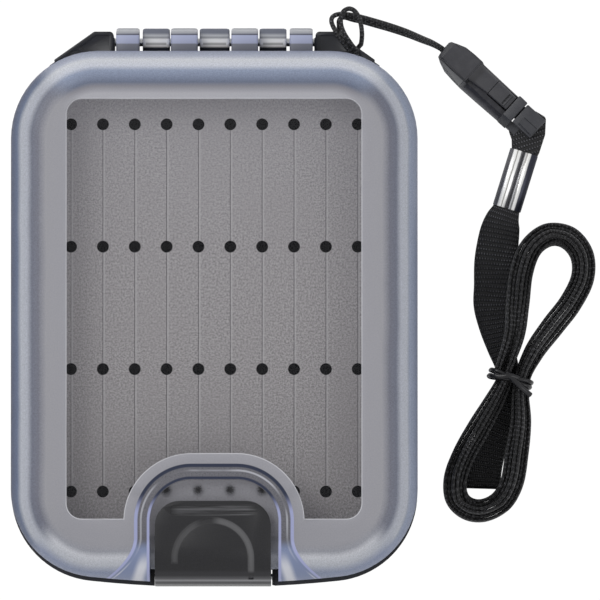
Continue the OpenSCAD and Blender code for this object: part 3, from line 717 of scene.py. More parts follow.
def bay_rib(finish, x, y, bay, broad):
    """Painted light of the rib round the latch bay: its tones and painted highlights, with masks of
    the rib, its lines and its feet.

    Its lines, painted light refracted by the rib's walls, are dark across the bay's rear and
    lavender down the legs.
    """
    flare = (-58.0 - y).most(0.0)
    spread = bay - flare * flare * 0.066
    wire = finish.mix(y.ramp(-52, -47), tone(176, 182, 224), tone(44, 52, 76))
    outer = (spread - 3.5).size().ramp(0.65, 0.3)
    inner = (bay - 0.35).size().ramp(0.5, 0.2)
    lines = outer.most(inner)
    # Painted highlight streaks along the rib.
    gleam = (spread - 2.2).size().ramp(0.35, 0.1) * (broad * 3.0 - 1.0).ramp(0.2, 0.8)
    # Painted highlights where the rib's legs flare into the front shoulder.
    pale = (x.size() - 19.6 + (y + 70.0) * 0.35).size().ramp(2.2, 0.4) * y.ramp(-61, -66)
    foot = flare.ramp(0.2, 3.0) * spread.ramp(4.0, 3.6)
    # Painted light: a bluish tone on the flared feet.
    rib = finish.mix(foot, tone(126, 126, 134), tone(136, 148, 182))
    rib = finish.mix(gleam.most(pale * foot), rib, tone(226, 228, 238))
    in_rib = bay.ramp(-0.2, 0.1) * spread.ramp(4.0, 3.8)
    return finish.mix(lines, rib, wire), in_rib, lines, foot


def painted_hole_shade(x, y, fine):
    """Mask of painted shade: the foam's last holes as dark spots, blurred by the frosted plastic
    over them.
    """
    spots = ((x / HOLE_PITCH).math("FRACT") - 0.5) * HOLE_PITCH
    down = y - LAST_HOLES_Y
    spots = (spots * spots + down * down).math("SQRT") + (fine - 0.5) * 1.6
    return spots.ramp(2.1, 0.3) * x.size().ramp(14.4, 13.8)


def knuckle_tones(finish, x, y, marks, sparkle):
    """Painted light on the pin seen through the knuckles: bars of painted highlight and shade, with
    painted glints at their ends.
    """
    bars = finish.stops(y, REAR_Y, 70.5, *marks)
    ends = (x.size() - 3.3).size().least((x.size() - 11.75).size())
    ends = ends.least((x.size() - 17.65).size())
    # Painted glints at the knuckles' ends.
    painted_glint = ends.ramp(0.55, 0.2) * (y - 66.7).size().ramp(0.9, 0.5) * sparkle
    return finish.mix(painted_glint, bars, (1.0, 1.0, 1.0))


def clear_finish(name, knuckles, sparkle):
    """Clear moulded plastic: bands of light round its thick edge, painted highlights on the rib,
    the window's edge and the hinge, painted shade of the foam's holes, frosted border, clear
    window.
    """
    finish = Finish(name, tone(150, 150, 156), 0.12, IOR=1.5)
    where = finish.place()
    x, y, _ = finish.split(where)
    fine = finish.noise(where, 3.0, 6.0, 0.85)
    broad = finish.noise(where, 0.06, 2.0)
    inset = -finish.rounded(x, y - LID_MIDDLE_Y, HALF_W, LID_HALF_Y, CORNER_R)
    bay = finish.rounded(x, y - (BAY_REAR - BAY_HALF_Y), BAY_W / 2, BAY_HALF_Y, BAY_R)
    window = finish.rounded(x, y - WINDOW_MIDDLE_Y, *WINDOW_HALF, 4.0).most(6.4 - bay)

    rib, in_rib, lines, foot = bay_rib(finish, x, y, bay, broad)
    toned = finish.mix(in_rib, edge_bands(finish, x, y, inset, broad), rib)
    # Painted shade of the foam's holes seen through the bay's floor.
    spots = painted_hole_shade(x, y, fine) * (1 - in_rib)
    toned = finish.mix(spots, toned, tone(40, 40, 44))
    # Painted highlight along the window's edge.
    line = (window + 0.05).size().ramp(0.15, 0.04) * (broad + 0.3).ramp(0.3, 0.8)
    toned = finish.mix(line, toned, tone(235, 236, 242))
    behind = y.ramp(REAR_Y + 0.1, REAR_Y + 0.3)
    toned = finish.mix(behind, toned, knuckle_tones(finish, x, y, knuckles, sparkle))

    frosted = window.ramp(-0.05, 0.05)
    thick = inset.ramp(9.5, 6.5)
    floor = bay.ramp(0.1, -0.1)
    grain = (fine - 0.5) * (thick * 0.9 + 0.3)
    alpha = frosted * 0.56 + thick * 0.24 - floor * 0.16 + in_rib * lines * 0.3 + behind * 0.5
    alpha = alpha + line * 0.5 + foot * 0.25 + grain * frosted + spots * 0.3 + 0.02
    finish.set({"Base Color": toned, "Alpha": alpha.least(0.98).most(0.02),
                "Roughness": frosted * 0.3 + (fine - 0.5) * 0.1 + 0.1})
    finish.bump(frosted * fine, 0.3, 0.06 * MM)
    return finish.material


# ---------------------------------------------------------------- pieces
def hank_rings(width):
    """Ring centres of the strap's hank in millimetres, one for each point of the turn's plan."""
    out = []
    count = len(MIDDLE_TURN)
    for i in range(HANK_TURNS * count + 1):
        k, u = i % count, i / count
        ahead, behind = MIDDLE_TURN[(k + 1) % count], MIDDLE_TURN[k - 1]
        tx, ty = ahead[0] - behind[0], ahead[1] - behind[1]
        long = math.hypot(tx, ty)
        far = min(k % 12, 12 - k % 12)
        step = (WAIST_STEP, (WAIST_STEP + LOOP_STEP) / 2)[far] if far < 2 else LOOP_STEP
        move = (u - HANK_TURNS / 2) * step
        n = math.floor(u)
        f, up = u - n, n % 2
        lift = up if f < 1 - CLIMB else up + (1 - 2 * up) * (f - 1 + CLIMB) / CLIMB
        out.append((MIDDLE_TURN[k][0] + ty / long * move, MIDDLE_TURN[k][1] - tx / long * move,
                    STRAP_REST + width / 2 + EDGE_LIFT * lift + OVER_LEAD * LEAD_SHARE[k]))
    return out


def mm(value):
    """Millimetres of a length property, without its single-precision tail."""
    return round(value / MM, 4)


def picked(color):
    """A colour property's numbers, without their single-precision tails."""
    return tuple(round(c, 5) for c in color)


def settle(piece, body, slot, *nodes):
    """Sets a piece on its body and hides the CAD nodes it stands for; its slot is not used."""
    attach(piece, body)
    if nodes:
        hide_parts(*nodes)
    return piece


def add_camera():
    """Long lens nearly straight above the lids."""
    data = bpy.data.cameras.new("camera")
    camera = bpy.data.objects.new("camera", data)
    bpy.context.scene.collection.objects.link(camera)
    away = Vector((0, -math.sin(CAMERA_TILT), math.cos(CAMERA_TILT))) * CAMERA_FAR
    camera.location = (Vector(CAMERA_AIM) + away) * MM
    camera.rotation_euler = (CAMERA_TILT, 0, 0)
    data.sensor_width = SENSOR
    data.lens = SENSOR * CAMERA_FAR / VIEW_MM
    data.clip_end = 20
    bpy.context.scene.camera = camera


def lay_cord(piece, body, slot, node, diameter):
    """Settles a cord on its body."""
    settle(piece, body, slot, node)
    diameter * MM


def build_cords(finishes, sizes):
    """The thin cord on the lug, the strap's leads and its hank."""
    diameter = mm(sizes.cord)
    route = smooth_line(CORD_ROUTE, 0.5)
    thin = dress(tube("lanyard_loop", route, diameter), finishes["thin_cord"])
    lay_cord(thin, "box", "thin_cord", "lanyard_cord", diameter)

    width, weave = mm(sizes.strap_width), finishes["strap_webbing"]
    for name, lift in (("strap_lead_lower", 0.0), ("strap_lead_upper", LEAD_STEP)):
        line = smooth_line([(x, y, z + lift, w) for (x, y, z), w in zip(LEAD_ROUTE, LEAD_WIDTHS)])
        wide = [width * p[3] for p in line]
        line = [p[:3] for p in line]
        lead = band(name, line, 0, wide, [mm(sizes.strap_layer)] * len(line))
        lay_cord(dress(lead, weave), "neck_strap", "strap_webbing", "strap_lead", width)

    line = smooth_line(hank_rings(width))
    thick = [mm(sizes.strap_double) - 0.65 * math.exp(-(math.dist(p[:2], WAIST) / 7.5) ** 2)
             for p in line]
    _, aside, _ = frames([(x, y, 0) for x, y, _ in line])
    layers = []
    for side in (-0.25, 0.25):
        beside = [tuple(np.array(p) + a * t * side) for p, a, t in zip(line, aside, thick)]
        layers.append(band(f"layer{side}", beside, math.pi / 2, [width] * len(line),
                           [t / 2 - 0.03 for t in thick]))
    hank = dress(join_pieces("strap_hank_weave", *layers), weave)
    lay_cord(hank, "neck_strap", "strap_webbing", "strap_hank", width)


def foam_cuts(material):
    """Geometry Nodes tree of what is cut from a pad: a grid of wells and a row of slits."""
    tree = bpy.data.node_groups.new("foam_cuts", "GeometryNodeTree")
    tree.interface.new_socket(name="Cuts", in_out="OUTPUT", socket_type="NodeSocketGeometry")
    for kind, names in (("NodeSocketInt", ("Columns", "Rows")),
                        ("NodeSocketFloat", ("Column Pitch", "Row Pitch", "Middle Y", "Face Z",
                                             "Side", "Overrun", "Hole Diameter", "Hole Depth",
                                             "Slit Width", "Slit Depth"))):
        for name in names:
            tree.interface.new_socket(name=name, in_out="INPUT", socket_type=kind)
    given = {s.name: Socket(tree, s) for s in add_node(tree, "NodeGroupInput").outputs}

    def node(kind, values):
        return Socket(tree, add_node(tree, kind, values=values).outputs[0])

    def spread(shape, rows, depth):
        """A shape at every point of a grid, from its depth in the foam to past its face."""
        points = node("GeometryNodeMeshGrid", {"Size X": wide, "Size Y": long, "Vertices Y": rows,
                                               "Vertices X": given["Columns"]})
        set_out = node("GeometryNodeInstanceOnPoints", {"Points": points, "Instance": shape})
        z = given["Face Z"] + (given["Overrun"] - depth) * 0.5 * given["Side"]
        move = node("ShaderNodeCombineXYZ", {"Y": given["Middle Y"], "Z": z})
        return node("GeometryNodeTransform", {"Geometry": set_out, "Translation": move})

    wide = (given["Columns"] - 1) * given["Column Pitch"]
    long = (given["Rows"] - 1) * given["Row Pitch"]
    well = node("GeometryNodeMeshCylinder", {
        "Vertices": 24, "Radius": given["Hole Diameter"] * 0.5,
        "Depth": given["Hole Depth"] + given["Overrun"]})
    slit = node("GeometryNodeMeshCube", {"Size": node("ShaderNodeCombineXYZ", {
        "X": given["Slit Width"], "Y": long, "Z": given["Slit Depth"] + given["Overrun"]})})
    both = add_node(tree, "GeometryNodeJoinGeometry",
                    values={0: spread(slit, 1, given["Slit Depth"])})
    join(tree, spread(well, given["Rows"], given["Hole Depth"]), both.inputs[0])
    made = node("GeometryNodeRealizeInstances", {"Geometry": Socket(tree, both.outputs[0])})
    add_node(tree, "NodeGroupOutput", values={
        0: node("GeometryNodeSetMaterial", {"Geometry": made, "Material": material})})
    return tree


def node_piece(name, tree, values):
    """Plain mesh made by a node tree, whose inputs are set by their identifiers."""
    piece = mesh(name, [], [], smooth=False)
    modifier = piece.modifiers.new("Nodes", "NODES")
    modifier.node_group = tree
    for item in tree.interface.items_tree:
        if item.name in values:
            modifier[item.identifier] = values[item.name]
    return bake(piece)


def foam_pad(name, up, material, tree, values):
    """Foam pad of one side, its notch, wells and slits cut from a lofted block."""
    def level(z):
        return MID_Z + up * z

    top = FOAM_Z + FOAM_T
    pad = mesh(name, *loft([[(x, y, level(FOAM_Z + z)) for x, y in plan(inset)]
                            for inset, z in FOAM_EDGE]))
    x, y = FOAM_NOTCH
    cut(pad, prism("notch", [(-x, CLEAR_Y), (x, CLEAR_Y), (x, y), (-x, y)],
                   level(FOAM_Z - 1), level(top + 1)))
    cuts = node_piece("cuts", tree, {**values, "Side": float(up), "Face Z": level(top) * MM})
    return dress(soften(cut(pad, cuts, use_self=True)), material)


def lug_cap(name, side, up, material):
    """Raised border on one face of a lug, round its pocket and its hole."""
    def level(z):
        return MID_Z + up * z

    def outline(corners):
        return fillet([(side * x, y, r) for x, y, r in corners], 4)

    cap = prism(name, outline([(25.4, 61.5, 0.3), (25.4, 69.3, 1.0), (30.3, 69.3, 1.0),
                               (41.2, 61.6, 0.4)]), level(0), level(3.95))
    pocket = prism("pocket", outline([(26.4, 64.3, 0.3), (26.4, 68.4, 0.6), (29.9, 68.4, 0.6),
                                      (34.0, 65.4, 0.4), (32.6, 64.3, 0.4)]), level(3.6), level(6))
    x, y, radius = LUG_EYE
    eye = prism("eye", circle(side * x, y, radius, 32), level(-1), level(6))
    cut(cap, pocket, eye)
    bevel(cap, 0.2, 2, 50)
    settle(dress(soften(cap), material), "box", "black_abs")


def build_box(finishes, sizes):
    """Foam pads, lug borders, and materials of the box's own nodes."""
    black, foam = finishes["black_abs"], finishes["grey_foam"]
    cheek = prism("notch_cheek", fillet([(14.5, -70.0, 0.2), (15.6, -70.0, 0.3),
                                         (15.6, -65.3, 0.1), (14.5, -65.3, 0.1)], 3),
                  MID_Z - 4.4, MID_Z + 4.4)
    settle(dress(soften(cheek), black), "box", "black_abs")
    for letter, side, up in (("a", 1, 1), ("b", -1, 1), ("c", 1, -1), ("d", -1, -1)):
        lug_cap(f"lug_cap_{letter}", side, up, black)
    tree = foam_cuts(foam)
    values = {"Columns": HOLE_COLUMNS, "Rows": HOLE_ROWS, "Column Pitch": HOLE_PITCH * MM,
              "Row Pitch": ROW_PITCH * MM, "Middle Y": HOLE_MIDDLE_Y * MM, "Overrun": MM,
              "Hole Diameter": sizes.hole, "Hole Depth": sizes.hole_depth,
              "Slit Width": sizes.slit, "Slit Depth": sizes.slit_depth}
    for name, up, node in (("foam_front", 1, "front_foam"), ("foam_back", -1, "back_foam")):
        pad = foam_pad(name, up, foam, tree, values)
        settle(pad, "box", "grey_foam", node)
    for slot, nodes in (("black_abs", ("center_frame",)),
                        ("adhesive", ("front_adhesive", "back_adhesive")),
                        ("seal_rubber", ("front_gasket", "back_gasket")),
                        ("pin_steel", ("hinge_pin", "front_latch_pin", "back_latch_pin"))):
        for node in nodes:
            dress(frame["nodes"][node], finishes[slot])


def shell(name, inset, up, base=0.0):
    """Solid of a lid's body with every outer face moved in by inset."""
    r, h = SHOULDER_R - inset, LID_H - inset
    levels = [(inset, base), (inset, h - r)]
    levels += [(inset + r * (1 - math.cos(a)), h - r + r * math.sin(a))
               for a in (math.pi / 2 * k / 10 for k in range(1, 11))]
    return mesh(name, *loft([[(x, y, MID_Z + up * (RIM_Z + z)) for x, y in plan(i)]
                             for i, z in levels]))


def knuckle(name, middle, width, up):
    """One bar of the hinge: the round about the pin and the leg that carries it."""
    drop = -RIM_Z
    side = [(62.6, 0.3), (62.6, 3.3), (64.5, 3.5), (68.7, 3.5), (69.2, 3.2), (69.35, 2.6),
            (69.3, 0.0), (69.7, -1.0), (70.1, -2.4), (70.25, -3.6)]
    side += [(HINGE_Y + KNUCKLE_R * math.cos(a), drop + KNUCKLE_R * math.sin(a))
             for a in (-math.pi * k / 14 for k in range(15))]
    side += [(63.6, -3.6), (64.4, -2.6), (64.4, 0.3)]
    rings = []
    for x, shrink in ((-1, 0.5), (-0.94, 0.15), (-0.8, 0), (0.8, 0), (0.94, 0.15), (1, 0.5)):
        ring = []
        for y, z in side:
            away = np.array((y - 66.7, z + 1.6))
            y, z = np.array((y, z)) - away / np.linalg.norm(away) * shrink
            ring.append((middle + x * width / 2, y, MID_Z + up * (RIM_Z + z)))
        rings.append(ring)
    return soften(mesh(name, *loft(rings)), 50)


def join_pieces(name, *pieces):
    """One plain mesh of several pieces."""
    work = bmesh.new()
    for piece in pieces:
        work.from_mesh(piece.data)
    data = bpy.data.meshes.new(name)
    work.to_mesh(data)
    work.free()
    for piece in pieces:
        bpy.data.objects.remove(piece)
    piece = bpy.data.objects.new(name, data)
    bpy.context.scene.collection.objects.link(piece)
    return piece


def build_lids(finishes, sizes):
    """The two clear lids: hollow shells with a bay for the latch, a window and hinge bars."""
    wall, step = mm(sizes.lid_wall), mm(sizes.window_step)
    for name, node, body, up in (("lid_front", "front_lid", "front_cover", 1),
                                 ("lid_back", "back_lid", "back_cover", -1)):
        def level(z):
            return MID_Z + up * (RIM_Z + z)

        lid = shell(name, 0.0, up)
        block = cut(prism("block", bay_plan(RIB_W), level(-2), level(LID_H + 1)),
                    shell("under", BAY_DEPTH + wall, up, -3.0))
        hollow = cut(shell("hollow", wall, up, -1.0), block)
        bay = cut(prism("bay", bay_plan(0), level(-2), level(LID_H + 1)),
                  shell("floor", BAY_DEPTH, up, -3.0))
        window = prism("window", fillet(WINDOW), level(LID_H - step), level(LID_H + 1))
        lid = soften(cut(lid, hollow, bay, window), 30)
        bars = [knuckle(f"{name}_bar", middle, width, up) for middle, width in KNUCKLES[node]]
        lid = join_pieces(name, lid, *bars)
        settle(dress(lid, finishes[node]), body, "clear_pc", node)


def latch_side(inset=0.0):
    """Side outline of a latch in Y and height over the mid plane, moved in at its outer face."""
    top, arc = LATCH_TOP - inset, LATCH_ARC - inset
    arc_y, arc_z = LATCH_FRONT + LATCH_ARC, LATCH_TOP - LATCH_ARC
    tip, under = LATCH_FRONT + LATCH_REACH, LATCH_ARC - LATCH_T
    side = [(tip, top), (arc_y, top)]
    side += [(arc_y - arc * math.sin(a), arc_z + arc * math.cos(a))
             for a in (math.pi / 2 * k / 12 for k in range(1, 13))]
    heel = LATCH_T - inset
    side += [(LATCH_PIN_Y + heel * math.cos(a), LATCH_PIN_Z + heel * math.sin(a))
             for a in (math.pi + math.pi * k / 10 for k in range(11))]
    side += [(arc_y - under * math.cos(a), arc_z + under * math.sin(a))
             for a in (math.pi / 2 * k / 10 for k in range(11))]
    hook = tip - 1.6
    return side + [(hook, LATCH_TOP - LATCH_T), (hook, LATCH_TOP - 3.0), (tip, LATCH_TOP - 3.0)]


def bar(name, side, half, up):
    """Prism across X over an outline in Y and height."""
    return mesh(name, *loft([[(x, y, MID_Z + up * z) for y, z in side] for x in (-half, half)]),
                smooth=False)


def build_latches(finishes, sizes):
    """The two latches: a wrapped arm with a finger lip, an arched groove and rounded edges."""
    tip = LATCH_FRONT + LATCH_REACH
    left, right = LATCH_SHIFT - LATCH_W / 2, LATCH_SHIFT + LATCH_W / 2
    outline = fillet([(right, -80, 0.1), (right, tip, 6.2), (left, tip, 6.2), (left, -80, 0.1)])
    arch = []
    for r, way in ((ARCH_OUTER, 1), (ARCH_INNER, -1)):
        ring = [(LATCH_SHIFT + r * math.cos(a), ARCH_Y + r * math.sin(a))
                for a in (math.pi * k / 24 for k in range(25))]
        arch += [(LATCH_SHIFT + r, -68.6), *ring, (LATCH_SHIFT - r, -64.6)][::way]
    lip = fillet([(11, -52.6, 0.8), (11, -50.1, 0.8), (-11, -50.1, 0.8), (-11, -52.6, 0.8)])
    for name, node, body, up in (("latch_front", "front_latch", "front_catch", 1),
                                 ("latch_back", "back_latch", "back_catch", -1)):
        def level(z):
            return MID_Z + up * z

        arm = bar(name, latch_side(), LATCH_W, up)
        cut(arm, prism("plate", outline, level(-30), level(30)), operation="INTERSECT")
        groove = cut(prism("groove", arch, MID_Z, level(30)),
                     bar("core", latch_side(mm(sizes.groove)), LATCH_W, up))
        dip = prism("dip", lip, level(LATCH_TOP - 0.45), level(30))
        hole = mesh("hole", *loft([[(x, y, level(z)) for y, z in
                                    circle(LATCH_PIN_Y, LATCH_PIN_Z, 0.8, 20)]
                                   for x in (-20, 20)]))
        cut(arm, groove, dip, hole)
        bevel(arm, 0.28, 3, 40)
        settle(dress(soften(arm, 30), finishes["latch_black"]), body, "latch_black", node)


def on_buckle(u, v, z):
    """Point of the buckle, u along it from its tip, v across, in box coordinates."""
    c, s = math.cos(BUCKLE_TURN), math.sin(BUCKLE_TURN)
    return BUCKLE_AT[0] + u * c - v * s, BUCKLE_AT[1] + u * s + v * c, z


def stations(name, rows):
    """Skin over the buckle's stations: u, low edge, top edge left, top edge right, heights."""
    rings = []
    for u, low, left, right, base, top in rows:
        wall = base + 0.45 * (top - base)
        ring = [(low + 0.3, base), (low, base + 0.3), (low + 0.05, wall),
                (left - 0.12, top - 0.25), (left + 0.15, top), ((left + right) / 2, top + 0.08),
                (right - 0.15, top), (right, top - 0.2), (right + 0.1, wall),
                (right + 0.05, base + 0.3), (right - 0.3, base)]
        rings.append([on_buckle(u, v, z) for v, z in ring])
    return mesh(name, *loft(rings))


def brick(name, u, v, z, edge=0.25):
    """Block of the buckle with rounded edges, between pairs of u, v and z."""
    corners = (u[0], v[0]), (u[1], v[0]), (u[1], v[1]), (u[0], v[1])
    piece = mesh(name, *loft([[on_buckle(*corner, c) for corner in corners] for c in z]),
                 smooth=False)
    return modify(piece, "BEVEL", width=edge * MM, segments=2) if edge else piece


def build_buckle(finishes):
    """The buckle's socket, its tongue and its plug."""
    black = finishes["buckle_black"]
    socket = stations("socket", [
        (-1.35, 0.1, 0.4, 2.9, 1.6, 4.2), (-1.0, -1.5, -0.9, 3.4, 0.8, 5.2),
        (0.4, -2.3, -1.5, 4.0, 0.4, 5.8), (2.7, -3.2, -1.8, 4.85, 0.3, 6.0),
        (5.6, -3.5, -1.85, 5.03, 0.3, 6.0), (8.3, -3.65, -1.9, 5.03, 0.3, 5.95),
        (9.0, -3.65, -1.7, 4.75, 0.3, 4.3), (14.4, -3.55, -1.75, 4.68, 0.3, 4.1),
        (20.9, -3.35, -1.7, 4.62, 0.3, 4.0), (21.0, -3.35, -1.4, 4.9, 0.3, 5.8),
        (21.3, -3.45, -1.35, 5.03, 0.3, 5.95), (23.5, -3.45, -1.35, 5.0, 0.3, 5.9),
        (23.7, -3.35, -1.3, 4.9, 0.35, 5.7)])
    cut(socket, brick("mouth", (14.6, 25), (-0.35, 4.35), (1.0, 5.05), 0),
        brick("window", (14.6, 21.0), (-0.35, 4.35), (3.0, 8), 0))
    ramp = stations("ramp", [(8.2, -1.0, -0.7, 4.4, 3.0, 5.9), (10.5, -0.8, -0.55, 4.3, 3.0, 5.25),
                             (14.5, -0.2, 0.05, 4.2, 3.0, 5.05)])
    keep = stations("keep", [(0, -2.2, -1.2, 3.6, 5.6, 6.02), (7.9, -3.6, -1.6, 4.8, 5.6, 6.08)])
    lever = stations("lever", [(14.65, -0.15, 0.05, 4.2, 3.5, 5.0),
                               (18.3, -0.05, 0.15, 4.15, 3.5, 4.95),
                               (20.7, 0.05, 0.2, 4.05, 3.5, 4.95)])
    cut(lever, brick("slot", (18.75, 19.15), (0.5, 3.6), (4.5, 6), 0))
    ridge = brick("ridge", (19.3, 19.75), (0.3, 3.8), (4.8, 5.35), 0.12)
    block = brick("block", (24.0, 30.2), (-1.2, 4.8), (2.6, 5.4), 0.35)
    foot = brick("foot", (23.73, 26.6), (-3.2, -1.0), (0.6, 3.0), 0)
    prong = brick("prong", (15.0, 24.3), (0.0, 4.0), (1.3, 2.5))
    step = stations("step", [(25.6, -0.6, -0.3, 1.7, 5.2, 5.62),
                             (29.8, -0.7, -0.5, 1.75, 5.2, 5.62)])
    for node, body, parts in (("buckle_socket", "box", (socket, ramp, keep)),
                              ("release_tongue", "tongue", (lever, ridge)),
                              ("buckle_plug", "neck_strap", (block, foot, prong, step))):
        form = join_pieces(f"{node}_form", *(soften(part) for part in parts))
        settle(dress(form, black), body, "buckle_black", node)


def build_tab(finishes):
    """Folded webbing under the plug, round its right side and down into the crimp."""
    tab = mesh("strap_tab_weave", *loft([[on_buckle(u, v, z) for u, v in fillet(TAB_PLAN, 5)]
                                         for z in (0.5, 2.9)]), smooth=False)
    bevel(tab, 0.55, 3, 50)
    layer = tab.data.uv_layers.new(name="weave")
    for corner in tab.data.loops:
        at = tab.data.vertices[corner.vertex_index].co / MM
        layer.data[corner.index].uv = (at.x * 0.3 - at.y * 0.95, at.x * 0.95 + at.y * 0.3 + at.z)
    settle(dress(soften(tab, 50), finishes["strap_webbing"]), "neck_strap", "strap_webbing",
           "strap_tab")


def build_crimp(finishes):
    """The crimp: two barrels side by side."""
    along = np.array((math.cos(CRIMP_TURN), math.sin(CRIMP_TURN)))
    across = np.array((-along[1], along[0]))
    half = [(0, 1.35), (0, 1.85), (0.15, 1.97)]
    barrels = []
    for side in (-1, 1):
        rings = []
        for s, r in half + [(CRIMP_LEN - s, r) for s, r in reversed(half)]:
            middle = np.array(CRIMP_TOP) + along * s + across * side * 1.7
            rings.append([(*(middle + across * c), BARREL_Z + 0.97 * z)
                          for c, z in circle(0, 0, r, 40)])
        barrels.append(soften(mesh("barrel", *loft(rings)), 40))
    crimp = join_pieces("crimp_form", *barrels)
    settle(dress(crimp, finishes["crimp_chrome"]), "neck_strap", "crimp_chrome", "crimp_sleeve")


def build_tie(finishes):
    """The tie: shiny wire twice round the waist, its two ends crossed on top."""
    c, s = math.cos(TIE_TURN), math.sin(TIE_TURN)

    def wire(name, points, step, diameter):
        """Wire through points about the waist."""
        line = [(WAIST[0] + x * c - y * s, WAIST[1] + x * s + y * c, z) for x, y, z in points]
        return tube(name, smooth_line(line, step), diameter, 10)

    wires = []
    half, top = 5.3, 17.9
    for k, (y0, y1) in enumerate(((-0.8, 0.5), (0.7, -0.7))):
        wires.append(wire(f"wire{k}", [
            (-half, y0, 9), (-half, y0, 14.5), (-half + 0.5, y0, top - 0.8),
            (-half + 1.8, y0, top), (0, (y0 + y1) / 2, top + 0.35 - 0.5 * k),
            (half - 1.8, y1, top), (half - 0.5, y1, top - 0.8), (half, y1, 14.5), (half, y1, 9),
            (half, y1, 2.0), (half - 1, y1, 0.7), (0, 0, 0.5), (-half + 1, y0, 0.7),
            (-half, y0, 2.0), (-half, y0, 9)], 0.6, 1.15 - 0.1 * k))
    for k, end in enumerate((
            ((-1.6, 0.9, 18.3), (0.6, -0.2, 18.75), (3.4, -1.6, 18.5), (5.9, -2.7, 17.2)),
            ((1.8, 0.5, 18.1), (-0.4, 0.5, 18.9), (-2.6, -0.4, 18.6), (-4.2, -0.5, 18.2)))):
        wires.append(wire(f"end{k}", end, 0.4, 1.5))
    tie = join_pieces("twist_tie_form", *wires)
    settle(dress(tie, finishes["tie_black"]), "neck_strap", "tie_black", "twist_tie")


def add_stage(looks):
    """Pale floor, soft lights and the view transform."""
    scene = bpy.context.scene
    scene.view_settings.view_transform = "Standard"
    edge = 4000
    floor = mesh("floor", [(-edge, -edge, FLOOR_Z), (edge, -edge, FLOOR_Z), (edge, edge, FLOOR_Z),
                           (-edge, edge, FLOOR_Z)], [(0, 1, 2, 3)], smooth=False)
    paper = Finish("paper", (0.9, 0.9, 0.9), 1.0)
    glow = paper.node("ShaderNodeEmission", values={"Color": (1, 1, 1, 1), "Strength": FLOOR_GLOW})
    seen = paper.node("ShaderNodeLightPath", output="Is Camera Ray")
    lit = Socket(paper.tree, paper.shader.outputs[0])
    surface = paper.node("ShaderNodeMixShader", values={0: seen * 0.97, 1: lit, 2: glow})
    join(paper.tree, surface, paper.tree.nodes["Material Output"].inputs["Surface"])
    dress(floor, paper.material)
    world = bpy.data.worlds.new("studio")
    scene.world = world
    world.use_nodes = True
    room = world.node_tree.nodes["Background"]
    room.inputs["Color"].default_value = (1, 1, 1, 1)
    room.inputs["Strength"].default_value = looks.room_light
    for name, at, size, power in (("key", (-500, 350, 900), 500, looks.key_light),
                                  ("fill", (700, -300, 900), 600, looks.key_light * 0.45)):
        lamp = bpy.data.lights.new(name, "AREA")
        lamp.size = size * MM
        lamp.energy = power
        light = bpy.data.objects.new(name, lamp)
        scene.collection.objects.link(light)
        light.location = Vector(at) * MM
        aim = Vector((0, 0, 0.02)) - light.location
        light.rotation_euler = aim.to_track_quat("-Z", "Y").to_euler()


def make_finishes(looks):
    """Every material, by slot name."""
    weave = picked(looks.strap), picked(looks.strap_picks)
    return {
        "black_abs": moulded("black_abs", picked(looks.frame), 0.34),
        "latch_black": latch_finish(picked(looks.latch)),
        "buckle_black": buckle_finish(),
        "seal_rubber": moulded("seal_rubber", picked(looks.gasket), 0.6),
        "tie_black": moulded("tie_black", picked(looks.tie), 0.18),
        "adhesive": moulded("adhesive", picked(looks.adhesive), 0.8, spread=0.1),
        "pin_steel": metal("pin_steel", picked(looks.pins), 0.25, (0.2, 2.0, 2.0)),
        "crimp_chrome": crimp_finish(),
        "thin_cord": webbing("thin_cord", *weave, 0.8, 0.34),
        "strap_webbing": webbing("strap_webbing", *weave),
        "grey_foam": foam_finish(picked(looks.foam_dark), picked(looks.foam_pale)),
        # Marks of painted highlight and shade on each lid's knuckles, and how strong their painted
        # glints are.
        "front_lid": clear_finish("clear_front", [
            (64, 110, 112, 122), (65.9, 122, 124, 134), (66.2, 170, 176, 204),
            (68.1, 184, 190, 220), (68.3, 60, 64, 84), (68.65, 166, 168, 176),
            (69.6, 214, 216, 222), (70.3, 150, 152, 160)], 0.0),
        "back_lid": clear_finish("clear_back", [
            (64, 60, 62, 70), (65.2, 52, 54, 62), (65.7, 255, 252, 248), (66.2, 170, 168, 166),
            (66.7, 255, 255, 255), (67.3, 250, 250, 250), (67.8, 150, 152, 158),
            (68.3, 196, 198, 204), (69.0, 120, 124, 138), (70.2, 100, 106, 124)], 1.0),
    }


# ---------------------------------------------------------------- add-on
def length(name, description, default):
    """Length property, its default given in millimetres."""
    return bpy.props.FloatProperty(name=name, description=description, default=default * MM,
                                   min=0.0, precision=5, unit="LENGTH")


def color(name, description, default):
    """Colour property, its default in linear values."""
    return bpy.props.FloatVectorProperty(name=name, description=description, default=default,
                                         min=0.0, max=1.0, size=3, subtype="COLOR")


class FlyBoxSizes(bpy.types.PropertyGroup):
    cord: length("Thin cord", "Diameter of the cord on the lug", 1.2)
    strap_width: length("Strap width", "Width of the neck strap", 10.0)
    strap_layer: length("Strap layer", "Thickness of one flat layer of the strap", 0.9)
    strap_double: length("Doubled strap", "Thickness of the doubled strap in its hank", 2.0)
    hole: length("Foam hole", "Diameter of the holes in the foam", 3.0)
    hole_depth: length("Hole depth", "Depth of the holes in the foam", 6.0)
    slit: length("Foam slit", "Width of the slits in the foam", 0.18)
    slit_depth: length("Slit depth", "Depth of the slits in the foam", 0.45)
    lid_wall: length("Lid wall", "Thickness of the lids", 2.0)
    window_step: length("Window step", "Depth of the window below the border", 0.3)
    groove: length("Latch groove", "Depth of the arched groove in the latches", 0.35)


